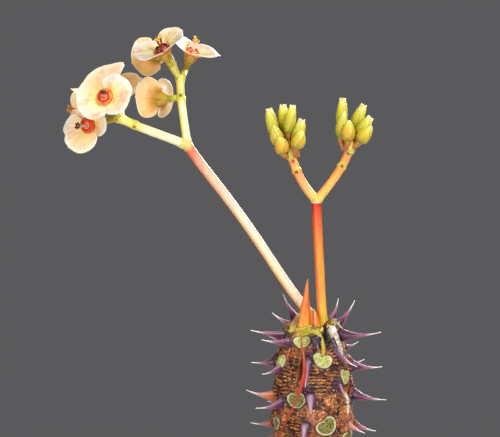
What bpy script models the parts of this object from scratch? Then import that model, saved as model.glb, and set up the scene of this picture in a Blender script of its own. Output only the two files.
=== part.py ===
"""Potted thorny euphorbia in flower.

A stout spiny stem stands in a clay pot of soil. Two flower stalks leave its tip: a long one that leans left
and forks to eight open cyathia (each a cup, two petal-like bracts and a ring of glands), and a short upright
one that forks to thirteen buds.

Lengths are millimetres, made metres as each shape is built. The origin is the centre of the pot's base, +Z is
up, and the long stalk leans to -X. Angles round the stem run from -Y (0 degrees) towards +X (90 degrees).
"""

import math

import bmesh
import bpy
import numpy as np
from mathutils import Matrix, Vector

MM = 0.001
GAP = 0.3  # clearance between neighbouring pieces

# Pot
POT_HEIGHT = 105.0
POT_BASE_RADIUS = 41.0
POT_SHOULDER_RADIUS = 54.0  # outer wall just under the rim band
POT_RIM_RADIUS = 60.0
POT_RIM_BAND = 24.0
POT_MOUTH_RADIUS = 51.5
POT_INNER_FOOT_RADIUS = 35.5
POT_FLOOR = 8.0
POT_EDGE_ROUND = 2.0
POT_SIDES = 48
DRAIN_RADIUS = 4.5
DRAIN_CIRCLE_RADIUS = 24.0
DRAIN_COUNT = 3

# Soil
SOIL_EDGE_HEIGHT = 93.5
SOIL_GAP = 0.4  # round the stem, and inside the pot
SOIL_CROWN_HEIGHT = 95.5  # where the soil meets the stem

# Main stem
STEM_FOOT = 60.0  # lower end of the buried stretch
STEM_BURIED_RADIUS = 13.0
STEM_TOP = 187.0
# Outer profile above the soil as (radius, height), top to bottom.
STEM_PROFILE = (
    (0.0, STEM_TOP), (6.6, STEM_TOP), (8.6, 186.2), (9.4, 184.0), (9.7, 181.5), (11.4, 178.0),
    (13.2, 174.5), (14.1, 170.5), (14.4, 166.0), (14.4, 158.0), (14.3, 150.0), (14.3, 142.0),
    (14.2, 134.0), (14.2, 126.0), (14.1, 118.0), (14.0, 110.0), (13.8, 104.0), (13.4, 99.5),
)
STEM_SIDES = 36

# Leaf scars stand in nine upright columns; each scar sits on a low swelling and has a spine on either side.
COLUMN_COUNT = 9
FIRST_COLUMN_ANGLE = -25.0
FIRST_SCAR_HEIGHT = 181.8
SCAR_PITCH = 22.9  # height between scars in one column
SCAR_STEP = 6.6  # drop from one column to the next
LOWEST_SCAR = 111.0
HIGHEST_SCAR = 186.0
SWELLING_HEIGHT = 1.2
SWELLING_HALF_WIDTH = 4.6
SWELLING_HALF_LENGTH = 7.5
SPINE_OFFSET_ANGLE = 25.0  # from the scar to each of its spines
SPINE_SPLAY_ANGLE = 12.0  # how much further round each spine points
SPINE_TILT = 1.6  # the spine towards larger angles stands this much above its scar, the other as much below
SPINE_LENGTH = 11.6
SPINE_LENGTH_CHANGE = 2.2
SPINE_ROOT_DEPTH = 2.2
SPINE_RADII = (2.1, 1.15, 0.12)
# Spines that differ from the rule, by column, row from the top and side: degrees further round, rise of the
# root, upward tilt in degrees, length.
ODD_SPINES = {
    (0, 0, -1): (0, 1.9, 6, 13.4), (0, 0, 1): (0, -0.4, -62, 5.5),
    (0, 1, -1): (0, 2.8, -9, 12.0), (0, 1, 1): (-8, 2.5, -70, 7.5),
    (1, 0, -1): (2, 3.3, -74, 11.6), (1, 0, 1): (0, 2.6, -29, 11.8),
    (1, 1, -1): (0, 0.8, -60, 7.5), (1, 1, 1): (12, -2.1, -24, 8.6),
    (2, 0, -1): (7, 0.0, -31, 9.6), (2, 0, 1): (0, 2.9, -7, 12.4), (2, 1, 1): (0, 2.8, -19, 9.7),
    (3, 0, -1): (0, 1.4, 5, 18.2), (3, 1, -1): (0, 2.4, -7, 15.0),
    (4, 0, -1): (0, 2.2, 12, 6.8), (5, 0, -1): (-30, 1.1, 10, 8.5),
    (7, 0, 1): (0, 0.7, 10, 15.2), (7, 1, 1): (0, 1.2, 11, 11.8),
    (8, 0, -1): (0, 0.7, -7, 10.1), (8, 0, 1): (-18, -2.9, -14, 11.0), (8, 1, -1): (0, 0.5, -9, 9.3),
}
LOST_SPINES = {(3, 0, 1), (3, 1, 1), (4, 1, -1), (6, 0, 1), (8, 1, 1)}
# Young spines on the shoulder round the tip: angle, height, upward tilt, length.
TIP_SPINES = ((-122, 188.6, 57, 11.8), (-90, 187.2, 30, 9.6), (117, 188.6, 64, 9.3), (96, 186.9, 50, 12.6))

# Flower heads
CUP_LENGTH = 6.5
CUP_RADIUS = 3.1
PEDICEL_RADIUS = 1.15
PETAL_HALF_WIDTH = 7.9
PETAL_THICKNESS = 0.6
PETAL_FOOT_RADIUS = 2.75
PETAL_FOOT_ANGLE = 84.0  # half the arc, in degrees, that a petal clasps the cup by
PETAL_RIM_ANGLE = 117.0  # half the arc of its rim, seen from the middle of the oval
PETAL_RIM_CENTRE = 0.33  # share of the reach at which that oval is centred
PETAL_RIM_TAPER = 0.2  # how much the oval narrows towards the cup
PETAL_SIDE_GAP = 0.22  # from a petal's straight side to the plane between the two petals
PETAL_FOOT_HEIGHT = -3.0  # below the cup's mouth
PETAL_LIFT = 2.0  # tip above the cup's mouth
PETAL_ARCH = 0.85  # share of a quarter sine wave that the rise from foot to tip follows
PETAL_RINGS = 3
PETAL_SPOKES = 10
GLAND_RADIUS = 3.0

BUD_RADIUS = 2.15
BUD_LENGTH = 7.6  # of a bud with that radius
BUD_STALK_RADIUS = 0.5

HALF_TURN = Matrix.Rotation(math.pi, 4, "Z")

CLAY = ("terracotta", "B5603A", 0.85)
SOIL = ("peat_soil", "2E2219", 0.95)
BARK = ("stem_bark", "7A4A2A", 0.8)
PINK_STALK = ("pink_stalk", "E8C9A8", 0.5)
GREEN_STALK = ("green_stalk", "D9D27A", 0.5)
ORANGE_STALK = ("orange_stalk", "DF7A3A", 0.5)
CUP_GREEN = ("cup_green", "B59A35", 0.5)
PETAL_CREAM = ("petal_cream", "FBEAD6", 0.45)
GLAND_RED = ("gland_red", "D8401F", 0.35)
BUD_GREEN = ("bud_green", "BDBB55", 0.5)
LEAF_BUD = ("leaf_bud_orange", "C9753C", 0.5)
DRY_RED = ("dried_red", "9A2E22", 0.7)


# ---------------------------------------------------------------- tools


def clear_scene():
    for obj in list(bpy.data.objects):
        bpy.data.objects.remove(obj, do_unlink=True)


def linear(hex_colour):
    """Linear RGBA from an sRGB hex colour."""
    channels = [int(hex_colour[i:i + 2], 16) / 255 for i in (0, 2, 4)]
    return [c / 12.92 if c <= 0.04045 else ((c + 0.055) / 1.055) ** 2.4 for c in channels] + [1.0]


def material(finish):
    name, colour, roughness = finish
    found = bpy.data.materials.get(name)
    if found:
        return found
    made = bpy.data.materials.new(name)
    made.use_nodes = True
    shader = made.node_tree.nodes["Principled BSDF"]
    shader.inputs["Base Color"].default_value = linear(colour)
    shader.inputs["Roughness"].default_value = roughness
    shader.inputs["Metallic"].default_value = 0.0
    made.diffuse_color = linear(colour)
    return made


def collection(name):
    made = bpy.data.collections.new(name)
    bpy.context.scene.collection.children.link(made)
    return made


def add(name, data, finish, group):
    obj = bpy.data.objects.new(name, data)
    data.materials.append(material(finish))
    group.objects.link(obj)
    return obj


def turned(name, profile, steps, finish, group):
    """A profile of (radius, height) points, top to bottom down its outer side, turned about Z."""
    points = [(radius * MM, 0.0, height * MM) for radius, height in profile]
    edges = [(i, i + 1) for i in range(len(points) - 1)]
    mesh = bpy.data.meshes.new(name)
    mesh.from_pydata(points, edges, [])
    obj = add(name, mesh, finish, group)
    screw = obj.modifiers.new("Turn", "SCREW")
    screw.steps = steps
    screw.render_steps = steps
    screw.use_merge_vertices = True
    screw.merge_threshold = 0.00001
    screw.use_smooth_shade = True
    return obj


def smooth_route(stations, count):
    """Evenly shared points on a Catmull-Rom curve through (x, y, z, radius) stations."""
    knots = np.array(stations, float)
    knots = np.vstack([2 * knots[0] - knots[1], knots, 2 * knots[-1] - knots[-2]])
    spans = len(knots) - 3
    places = np.linspace(0, spans, count)
    first = np.minimum(places.astype(int), spans - 1)
    t = (places - first)[:, None]
    a, b, c, d = (knots[first + i] for i in range(4))
    return 0.5 * (2 * b + (c - a) * t + (2 * a - 5 * b + 4 * c - d) * t**2 + (3 * b - a - 3 * c + d) * t**3)


def tube(name, rows, finish, group, roundness=2):
    """A round rod with filled ends through rows of (x, y, z, radius)."""
    curve = bpy.data.curves.new(name, "CURVE")
    curve.dimensions = "3D"
    curve.bevel_depth = MM
    curve.bevel_resolution = roundness
    curve.use_fill_caps = True
    spline = curve.splines.new("POLY")
    spline.points.add(len(rows) - 1)
    for point, (x, y, z, radius) in zip(spline.points, rows):
        point.co = (x * MM, y * MM, z * MM, 1.0)
        point.radius = max(radius, 0.1)
    return add(name, curve, finish, group)


def as_mesh(obj):
    """Replace an object by its evaluated mesh, with a curve's loose caps welded."""
    graph = bpy.context.evaluated_depsgraph_get()
    mesh = bpy.data.meshes.new_from_object(obj.evaluated_get(graph))
    name = obj.name
    place = obj.matrix_world.copy()
    groups = list(obj.users_collection)
    bpy.data.objects.remove(obj, do_unlink=True)
    weld(mesh)
    made = bpy.data.objects.new(name, mesh)
    made.matrix_world = place
    for group in groups:
        group.objects.link(made)
    return made


def weld(mesh):
    work = bmesh.new()
    work.from_mesh(mesh)
    bmesh.ops.remove_doubles(work, verts=work.verts, dist=0.000002)
    work.to_mesh(mesh)
    work.free()


def boolean(obj, other, operation):
    change = obj.modifiers.new(operation.title(), "BOOLEAN")
    change.operation = operation
    change.solver = "EXACT"
    change.use_self = operation == "UNION"
    change.object = other


def as_guide(obj):
    obj.hide_render = True
    obj.display_type = "WIRE"


# ---------------------------------------------------------------- pot and soil


def pot_wall_radius(height):
    """Radius of the pot's inner wall at a height."""
    share = (height - POT_FLOOR) / (POT_HEIGHT - POT_FLOOR)
    return POT_INNER_FOOT_RADIUS + share * (POT_MOUTH_RADIUS - POT_INNER_FOOT_RADIUS)


def pot(group, cutters):
    """A flower pot: tapered wall, thick rim band, flat base with three drain holes."""
    edge = POT_EDGE_ROUND
    shoulder = POT_HEIGHT - POT_RIM_BAND
    profile = (
        (0.0, POT_FLOOR),
        (POT_INNER_FOOT_RADIUS - edge, POT_FLOOR),
        (pot_wall_radius(POT_FLOOR + edge), POT_FLOOR + edge),
        (pot_wall_radius(POT_HEIGHT - edge), POT_HEIGHT - edge),
        (POT_MOUTH_RADIUS + 0.6 * edge, POT_HEIGHT - 0.3 * edge),
        (POT_MOUTH_RADIUS + 1.6 * edge, POT_HEIGHT),
        (POT_RIM_RADIUS - edge, POT_HEIGHT),
        (POT_RIM_RADIUS - 0.3 * edge, POT_HEIGHT - 0.3 * edge),
        (POT_RIM_RADIUS, POT_HEIGHT - edge),
        (POT_RIM_RADIUS - 1.2, shoulder + edge),
        (POT_RIM_RADIUS - 2.0, shoulder + 0.3 * edge),
        (POT_SHOULDER_RADIUS + 1.0, shoulder),
        (POT_SHOULDER_RADIUS, shoulder - edge),
        (POT_BASE_RADIUS + 0.4, edge),
        (POT_BASE_RADIUS - 0.5 * edge, 0.0),
        (0.0, 0.0),
    )
    body = turned("pot", profile, POT_SIDES, CLAY, group)
    for number in range(DRAIN_COUNT):
        turn = math.radians(30 + number * 360 / DRAIN_COUNT)
        bpy.ops.mesh.primitive_cylinder_add(
            vertices=20, radius=DRAIN_RADIUS * MM, depth=2 * POT_FLOOR * MM,
            location=(DRAIN_CIRCLE_RADIUS * math.cos(turn) * MM, DRAIN_CIRCLE_RADIUS * math.sin(turn) * MM,
                      0.5 * POT_FLOOR * MM),
        )
        cutter = bpy.context.object
        cutter.name = f"drain_cutter_{number + 1}"
        for home in list(cutter.users_collection):
            home.objects.unlink(cutter)
        cutters.objects.link(cutter)
        as_guide(cutter)
        boolean(body, cutter, "DIFFERENCE")


def potting_mix(group):
    """The soil: it fills the pot to just under the rim, with a round well for the buried stem."""
    well = STEM_BURIED_RADIUS + SOIL_GAP
    floor = POT_FLOOR + SOIL_GAP
    foot = POT_FLOOR + POT_EDGE_ROUND + SOIL_GAP
    profile = (
        (0.0, STEM_FOOT - SOIL_GAP),
        (well, STEM_FOOT - SOIL_GAP),
        (well, SOIL_CROWN_HEIGHT),
        (well + 5.0, SOIL_CROWN_HEIGHT + 0.4),
        (30.0, SOIL_CROWN_HEIGHT - 0.8),
        (42.0, SOIL_EDGE_HEIGHT + 0.4),
        (pot_wall_radius(SOIL_EDGE_HEIGHT) - SOIL_GAP, SOIL_EDGE_HEIGHT),
        (pot_wall_radius(foot) - SOIL_GAP, foot),
        (POT_INNER_FOOT_RADIUS - POT_EDGE_ROUND - SOIL_GAP, floor),
        (0.0, floor),
    )
    turned("potting_mix", profile, POT_SIDES, SOIL, group)


# ---------------------------------------------------------------- main stem


def leaf_scars():
    """Every scar as (column, row, angle in degrees, height)."""
    for column in range(COLUMN_COUNT):
        top = FIRST_SCAR_HEIGHT - (SCAR_STEP * column) % SCAR_PITCH
        if top + SCAR_PITCH <= HIGHEST_SCAR:
            top += SCAR_PITCH
        row = 0
        while top - row * SCAR_PITCH >= LOWEST_SCAR:
            yield column, row, FIRST_COLUMN_ANGLE + column * 360 / COLUMN_COUNT, top - row * SCAR_PITCH
            row += 1


def around_stem(angle, radius, height):
    turn = math.radians(angle)
    return Vector((radius * math.sin(turn), -radius * math.cos(turn), height))


def core_radius(height):
    """Stem radius at a height, without the swellings."""
    radii = [radius for radius, _ in STEM_PROFILE[1:]]
    heights = [level for _, level in STEM_PROFILE[1:]]
    return float(np.interp(height, heights[::-1], radii[::-1]))


def swell(mesh):
    """Push the stem's surface out round each scar, in a smooth bump that fades along and across the stem."""
    places = np.empty(len(mesh.vertices) * 3)
    mesh.vertices.foreach_get("co", places)
    places = places.reshape(-1, 3) / MM
    radius = np.hypot(places[:, 0], places[:, 1])
    angle = np.arctan2(places[:, 0], -places[:, 1])
    push = np.zeros(len(places))
    for _, _, scar_angle, scar_height in leaf_scars():
        across = (angle - math.radians(scar_angle) + math.pi) % (2 * math.pi) - math.pi
        across = across * radius / SWELLING_HALF_WIDTH
        along = (places[:, 2] - scar_height) / SWELLING_HALF_LENGTH
        push += SWELLING_HEIGHT * np.exp(-across**2 - along**2)
    side = (radius > 8.5) & (places[:, 2] > STEM_PROFILE[-1][1] + 1)
    scale = np.where(side, 1 + push / np.maximum(radius, 1), 1)
    places[:, 0] *= scale
    places[:, 1] *= scale
    mesh.vertices.foreach_set("co", (places * MM).ravel())
    mesh.update()


def spine_rise(height):
    """How far a spine points up, in degrees: the young ones near the tip rise, the old ones droop."""
    return float(np.interp(height, (150, 172, 180, 186), (-14, -7, 4, 42)))


def spine_rows(angle, heading_angle, height, tilt, length):
    """Stations along a spine rooted at one angle and height, heading along another angle and up by its tilt."""
    root = around_stem(angle, core_radius(height) + 0.6, height)
    heading = around_stem(heading_angle, 1.0, math.tan(math.radians(tilt))).normalized()
    reaches = (-SPINE_ROOT_DEPTH, 2.2, length)
    return [(*(root + heading * reach), radius) for reach, radius in zip(reaches, SPINE_RADII)]


def all_spines():
    """Stations of every spine: two at each scar, then those round the tip."""
    for column, row, angle, scar_height in leaf_scars():
        for side in (-1, 1):
            if (column, row, side) in LOST_SPINES:
                continue
            height = scar_height + side * SPINE_TILT
            change = SPINE_LENGTH_CHANGE * math.sin(2.3 * column + 1.7 * row + side)
            usual = (0, 0, spine_rise(height), SPINE_LENGTH + change)
            turned, raised, tilt, length = ODD_SPINES.get((column, row, side), usual)
            root_angle = angle + side * SPINE_OFFSET_ANGLE + turned
            yield spine_rows(root_angle, root_angle + side * SPINE_SPLAY_ANGLE, height + raised, tilt, length)
    for angle, height, tilt, length in TIP_SPINES:
        yield spine_rows(angle, angle, height, tilt, length)


def main_stem(group, cutters):
    """The stem: a turned core, swollen under each leaf scar, with all its spines grown from it."""
    buried = (
        (STEM_BURIED_RADIUS, 97.5), (STEM_BURIED_RADIUS, STEM_FOOT + 4.0),
        (STEM_BURIED_RADIUS - 3.0, STEM_FOOT), (0.0, STEM_FOOT),
    )
    core = as_mesh(turned("main_stem", STEM_PROFILE + buried, STEM_SIDES, BARK, group))
    swell(core.data)
    spines = [as_mesh(tube("spine", rows, BARK, cutters, roundness=1)) for rows in all_spines()]
    joined = join_meshes("spines", spines, cutters)
    as_guide(joined)
    boolean(core, joined, "UNION")


def join_meshes(name, pieces, group):
    """One object holding the meshes of several, which are removed."""
    work = bmesh.new()
    for piece in pieces:
        work.from_mesh(piece.data)
        bpy.data.objects.remove(piece, do_unlink=True)
    mesh = bpy.data.meshes.new(name)
    work.to_mesh(mesh)
    work.free()
    obj = bpy.data.objects.new(name, mesh)
    group.objects.link(obj)
    return obj


# ---------------------------------------------------------------- stalks

# Each stalk's own route: (x, y, z, radius).
FLOWER_STALK = (
    (1.6, 4.4, 188.8, 1.8), (-1.2, 4.1, 191.3, 1.9), (-6.2, 3.4, 197.3, 1.9), (-22.9, 1.0, 222.2, 1.85),
    (-42.0, -1.2, 248.0, 1.85), (-46.6, -1.9, 254.1, 2.0), (-48.2, -2.0, 256.2, 1.6),
)
LEFT_BRANCH = (
    (-50.1, -2.0, 256.7, 1.2), (-52.0, -2.0, 257.5, 1.6), (-60.0, -2.1, 260.6, 1.6), (-67.4, -2.0, 263.2, 1.75),
    (-71.0, -1.5, 265.0, 1.6), (-72.3, -1.2, 265.7, 1.9), (-73.3, -1.0, 266.2, 1.3),
)
UPPER_BRANCH = (
    (-48.0, -1.9, 258.3, 1.2), (-48.4, -1.8, 260.6, 1.5), (-49.3, -1.4, 267.0, 1.4), (-50.2, -1.0, 273.4, 1.7),
    (-50.4, -0.6, 277.0, 1.4), (-50.4, -0.2, 279.4, 1.7), (-50.4, 0.0, 280.4, 1.2),
)
BUD_STALK = (
    (3.5, -1.0, 187.4, 2.3), (3.4, -1.0, 190.0, 2.1), (2.6, -1.0, 204.0, 1.8), (1.6, -1.0, 222.0, 1.75),
    (1.1, -1.0, 231.5, 2.0), (1.0, -1.0, 234.2, 2.4), (1.0, -1.0, 235.2, 1.9),
)
LEFT_BUD_BRANCH = (
    (-0.6, -1.0, 236.8, 1.2), (-2.2, -1.0, 239.0, 1.6), (-6.4, -1.0, 245.2, 1.8), (-7.4, -1.0, 248.0, 1.5),
    (-7.9, -1.0, 250.4, 1.9), (-8.0, -1.0, 251.2, 1.4),
)
RIGHT_BUD_BRANCH = (
    (2.7, -1.0, 236.8, 1.2), (4.4, -1.0, 239.0, 1.6), (10.8, -1.0, 247.7, 1.8), (12.0, -1.0, 250.2, 1.5),
    (12.7, -1.0, 252.6, 1.9), (12.9, -1.0, 253.4, 1.4),
)


def stalks(group):
    tube("flower_stalk", smooth_route(FLOWER_STALK, 16), PINK_STALK, group)
    tube("flower_stalk_left_branch", smooth_route(LEFT_BRANCH, 12), GREEN_STALK, group)
    tube("flower_stalk_upper_branch", smooth_route(UPPER_BRANCH, 12), GREEN_STALK, group)
    tube("bud_stalk", smooth_route(BUD_STALK, 12), ORANGE_STALK, group)
    tube("bud_stalk_left_branch", smooth_route(LEFT_BUD_BRANCH, 10), ORANGE_STALK, group)
    tube("bud_stalk_right_branch", smooth_route(RIGHT_BUD_BRANCH, 10), ORANGE_STALK, group)


# ---------------------------------------------------------------- flower heads

# Each cyathium: centre of the cup's mouth, the way it faces, the way its first petal reaches (made square to
# the facing; the second reaches the other way), how far each petal reaches, and where its pedicel starts and
# passes.
FLOWERS = (
    ("a", (-77.7, -14.0, 273.6), (-0.25, -0.95, 0.12), (0.96, -0.23, 0.20), (10.9, 10.7),
     ((-74.0, -3.4, 267.6), (-74.9, -5.6, 270.4))),
    ("b", (-85.3, -4.0, 263.3), (-0.45, -0.88, -0.10), (-0.58, 0.38, -0.72), (10.8, 10.2),
     ((-75.8, -0.2, 265.8), (-79.0, 1.3, 265.0))),
    ("c", (-77.0, 15.0, 277.6), (-0.40, 0.66, 0.64), (0.95, 0.31, 0.0), (12.6, 7.7),
     ((-73.0, 1.6, 267.7), (-73.8, 5.6, 271.4))),
    ("d", (-86.4, 8.0, 269.6), (-0.75, 0.62, 0.20), (0.17, -0.10, 0.98), (8.2, 9.6),
     ((-75.3, 1.2, 268.4), (-78.2, 2.4, 268.6))),
    ("e", (-57.0, -5.0, 291.8), (-0.38, -0.50, 0.78), (0.88, 0.05, 0.46), (9.3, 10.4),
     ((-51.7, -1.0, 282.5), (-52.6, -1.4, 284.3))),
    ("f", (-60.2, 11.0, 291.2), (-0.55, 0.80, 0.05), (-0.78, -0.50, -0.38), (9.8, 8.4),
     ((-51.5, 1.7, 282.2), (-53.2, 4.0, 285.2))),
    ("g", (-46.0, 5.0, 291.4), (0.38, -0.34, 0.86), (0.91, 0.05, -0.38), (9.3, 9.2),
     ((-49.3, 0.6, 282.6), (-48.8, 2.2, 284.0))),
    ("h", (-59.2, 4.6, 273.8), (-0.78, 0.62, 0.05), (-0.63, -0.78, 0.0), (10.6, 10.4),
     ((-52.7, -0.9, 273.6), (-53.4, -0.4, 273.7))),
)
LIFTED_PETALS = {"e": 1.2, "g": 0.6}  # extra rise of the petal tips on the two cyathia that are least open


def flower_frame(mouth, facing, reach):
    """Matrix with X along a petal, Z the way the cup faces, origin at the mouth, in metres."""
    up = Vector(facing).normalized()
    along = Vector(reach)
    along = (along - up * along.dot(up)).normalized()
    across = up.cross(along)
    turn = Matrix((along, across, up)).transposed().to_4x4()
    return Matrix.Translation(Vector(mouth) * MM) @ turn


def cup(name, mouth, facing, pedicel, group):
    """A pedicel that widens to a funnel-shaped cup with a flat mouth."""
    up = Vector(facing).normalized()
    top = Vector(mouth)
    foot = top - up * CUP_LENGTH
    start, middle = (Vector(point) for point in pedicel)
    lead = smooth_route(((*start, 0.85), (*middle, 1.0), (*foot, PEDICEL_RADIUS + 0.15)), 5)
    flare = ((0.3, 1.9), (0.62, 2.45), (1.0, CUP_RADIUS))
    bowl = [(*(foot + up * CUP_LENGTH * share), radius) for share, radius in flare]
    tube(name, [tuple(row) for row in lead] + bowl, CUP_GREEN, group)


def petal(name, frame, reach, lift, group):
    """A broad kidney-shaped bract round one side of the cup.

    A grid is bent so that its columns fan out round the cup and its rows run from the foot, an arc that clasps
    the cup, to the rim, a wide oval. Height rises with distance from the cup's axis, easing off at the rim.
    """
    bpy.ops.mesh.primitive_grid_add(x_subdivisions=PETAL_SPOKES, y_subdivisions=PETAL_RINGS, size=2)
    obj = bpy.context.object
    mesh = obj.data
    mesh.name = name
    flat = np.empty(len(mesh.vertices) * 3)
    mesh.vertices.foreach_get("co", flat)
    flat = flat.reshape(-1, 3)
    fan = -flat[:, 0]
    out = (flat[:, 1] + 1) / 2
    centre = PETAL_RIM_CENTRE * reach
    rim_turn = math.radians(PETAL_RIM_ANGLE) * fan
    taper = 1 - PETAL_RIM_TAPER * ((1 - np.cos(rim_turn)) / 2) ** 2
    rim_x = centre + (reach - centre) * np.cos(rim_turn)
    rim_y = PETAL_HALF_WIDTH * np.sin(rim_turn) * taper
    foot_turn = math.radians(PETAL_FOOT_ANGLE) * fan
    foot_x = PETAL_FOOT_RADIUS * np.cos(foot_turn)
    foot_y = PETAL_FOOT_RADIUS * np.sin(foot_turn)
    x = np.maximum(foot_x + (rim_x - foot_x) * out, PETAL_SIDE_GAP)
    y = foot_y + (rim_y - foot_y) * out
    share = (np.hypot(x, y) - PETAL_FOOT_RADIUS) / (reach - PETAL_FOOT_RADIUS)
    quarter = PETAL_ARCH * math.pi / 2
    rise = np.sin(np.clip(share, 0, 1.1) * quarter) / math.sin(quarter)
    z = PETAL_FOOT_HEIGHT + (lift - PETAL_FOOT_HEIGHT) * rise
    mesh.vertices.foreach_set("co", (np.column_stack([x, y, z]) * MM).ravel())
    mesh.update()
    mesh.materials.append(material(PETAL_CREAM))
    mesh.shade_smooth()
    obj.name = name
    obj.matrix_world = frame
    for home in list(obj.users_collection):
        home.objects.unlink(obj)
    group.objects.link(obj)
    wall = obj.modifiers.new("Thickness", "SOLIDIFY")
    wall.thickness = PETAL_THICKNESS * MM
    wall.offset = -1.0


def glands(name, frame, group):
    """The ring of glands that closes the cup's mouth, hollowed a little in the middle."""
    profile = (
        (0.0, 0.7), (1.1, 0.8), (2.1, 1.3), (2.8, 1.1), (GLAND_RADIUS, 0.7), (GLAND_RADIUS - 0.3, GAP), (0.0, GAP),
    )
    turned(name, profile, 12, GLAND_RED, group).matrix_world = frame


def flowers(group):
    for letter, mouth, facing, way, reaches, pedicel in FLOWERS:
        lift = PETAL_LIFT + LIFTED_PETALS.get(letter, 0.0)
        frame = flower_frame(mouth, facing, way)
        cup(f"flower_{letter}_cup", mouth, facing, pedicel, group)
        petal(f"flower_{letter}_petal_1", frame, reaches[0], lift, group)
        petal(f"flower_{letter}_petal_2", frame @ HALF_TURN, reaches[1], lift, group)
        glands(f"flower_{letter}_glands", frame, group)


# ---------------------------------------------------------------- buds

# Each bud: where its fine stalk leaves the branch, the foot of the bud, and its tip.
LEFT_BUDS = (
    ((-9.6, -1.8, 251.6), (-11.7, -4.6, 252.6), (-13.2, -5.6, 259.0)),
    ((-9.9, -0.6, 252.2), (-13.0, -0.6, 255.9), (-15.2, -1.4, 263.2)),
    ((-8.9, 0.6, 252.6), (-14.9, 3.2, 259.8), (-17.0, 2.8, 269.7)),
    ((-7.8, 1.1, 252.8), (-11.5, 5.8, 260.6), (-11.6, 6.6, 271.3)),
    ((-7.0, 0.0, 252.8), (-9.5, 0.8, 260.0), (-8.0, 0.2, 270.9)),
    ((-6.2, -1.0, 252.4), (-6.7, -1.6, 256.3), (-4.4, -2.0, 265.6)),
    ((-6.9, -2.3, 252.2), (-7.0, -5.6, 254.6), (-5.0, -7.0, 261.4)),
)
RIGHT_BUDS = (
    ((12.1, 0.8, 254.9), (10.6, 3.6, 262.8), (11.3, 4.0, 273.7)),
    ((11.2, -0.4, 254.9), (10.1, -0.6, 258.8), (11.5, -1.0, 268.6)),
    ((12.2, -2.4, 254.8), (12.6, -5.0, 257.4), (12.8, -5.6, 265.0)),
    ((13.9, 0.6, 254.9), (15.2, 3.2, 262.0), (19.4, 3.4, 271.2)),
    ((14.6, -0.6, 254.6), (16.4, -0.8, 259.2), (21.4, -0.8, 266.4)),
    ((13.8, -2.0, 254.4), (17.2, -4.9, 256.4), (21.2, -5.9, 262.9)),
)


def bud(name, leave, foot, tip, group):
    """A fine stalk and a bullet-shaped bud with a blunt tip; a longer bud is slimmer."""
    start, root = Vector(leave), Vector(foot)
    length = (Vector(tip) - root).length
    way = (Vector(tip) - root).normalized()
    stout = BUD_RADIUS * math.sqrt(BUD_LENGTH / length)
    waist = root - way * 0.9
    fine = [(*start, BUD_STALK_RADIUS), (*start.lerp(waist, 0.5), BUD_STALK_RADIUS)]
    shape = ((-0.12, 0.28), (0.05, 0.72), (0.32, 1.0), (0.6, 0.94), (0.85, 0.6), (1.0, 0.32))
    body = [(*(root + way * length * share), stout * width) for share, width in shape]
    tube(name, fine + body, BUD_GREEN, group)


def buds(group):
    for side, places in (("left", LEFT_BUDS), ("right", RIGHT_BUDS)):
        for number, (leave, foot, tip) in enumerate(places, 1):
            bud(f"{side}_bud_{number}", leave, foot, tip, group)


# ---------------------------------------------------------------- tip of the stem

LEAF_BUD_ROUTE = (
    (-3.4, -4.6, 187.4, 2.3), (-3.5, -4.7, 190.5, 2.4), (-3.2, -4.8, 196.0, 1.5), (-2.7, -4.6, 201.0, 0.8),
    (-2.4, -4.4, 205.4, 0.2),
)
BRACT_ROUTE = ((0.9, -5.0, 187.4, 1.0), (0.7, -5.1, 189.4, 0.9), (0.3, -5.2, 192.2, 0.2))
STRAND_ROUTE = (
    (-4.9, -13.6, 184.6, 0.45), (-4.6, -16.4, 179.5, 0.6), (-4.2, -18.2, 173.6, 0.7),
    (-5.7, -18.0, 165.0, 0.55), (-9.2, -17.6, 156.8, 0.5), (-12.4, -16.6, 150.5, 0.45),
    (-14.6, -16.0, 146.5, 0.35), (-15.8, -16.0, 141.5, 0.2),
)


def stem_tip(group):
    tube("leaf_bud", smooth_route(LEAF_BUD_ROUTE, 8), LEAF_BUD, group)
    tube("small_bract", smooth_route(BRACT_ROUTE, 4), LEAF_BUD, group, roundness=1)
    tube("dried_strand", smooth_route(STRAND_ROUTE, 18), DRY_RED, group, roundness=1)


def main():
    clear_scene()
    group = collection("potted_euphorbia")
    cutters = collection("cutters")
    pot(group, cutters)
    potting_mix(group)
    main_stem(group, cutters)
    stalks(group)
    flowers(group)
    buds(group)
    stem_tip(group)


main()
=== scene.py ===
"""Thorny euphorbia in a clay pot: every visible surface, built round the fixed frame.

Shapes are worked out in millimetres as numpy arrays and put into meshes in metres. Angles round the stem run
from the front, -Y, towards +X. A mark is a number kept at each point of a mesh, and its material reads it by
name.
"""

import math
from itertools import product

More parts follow.
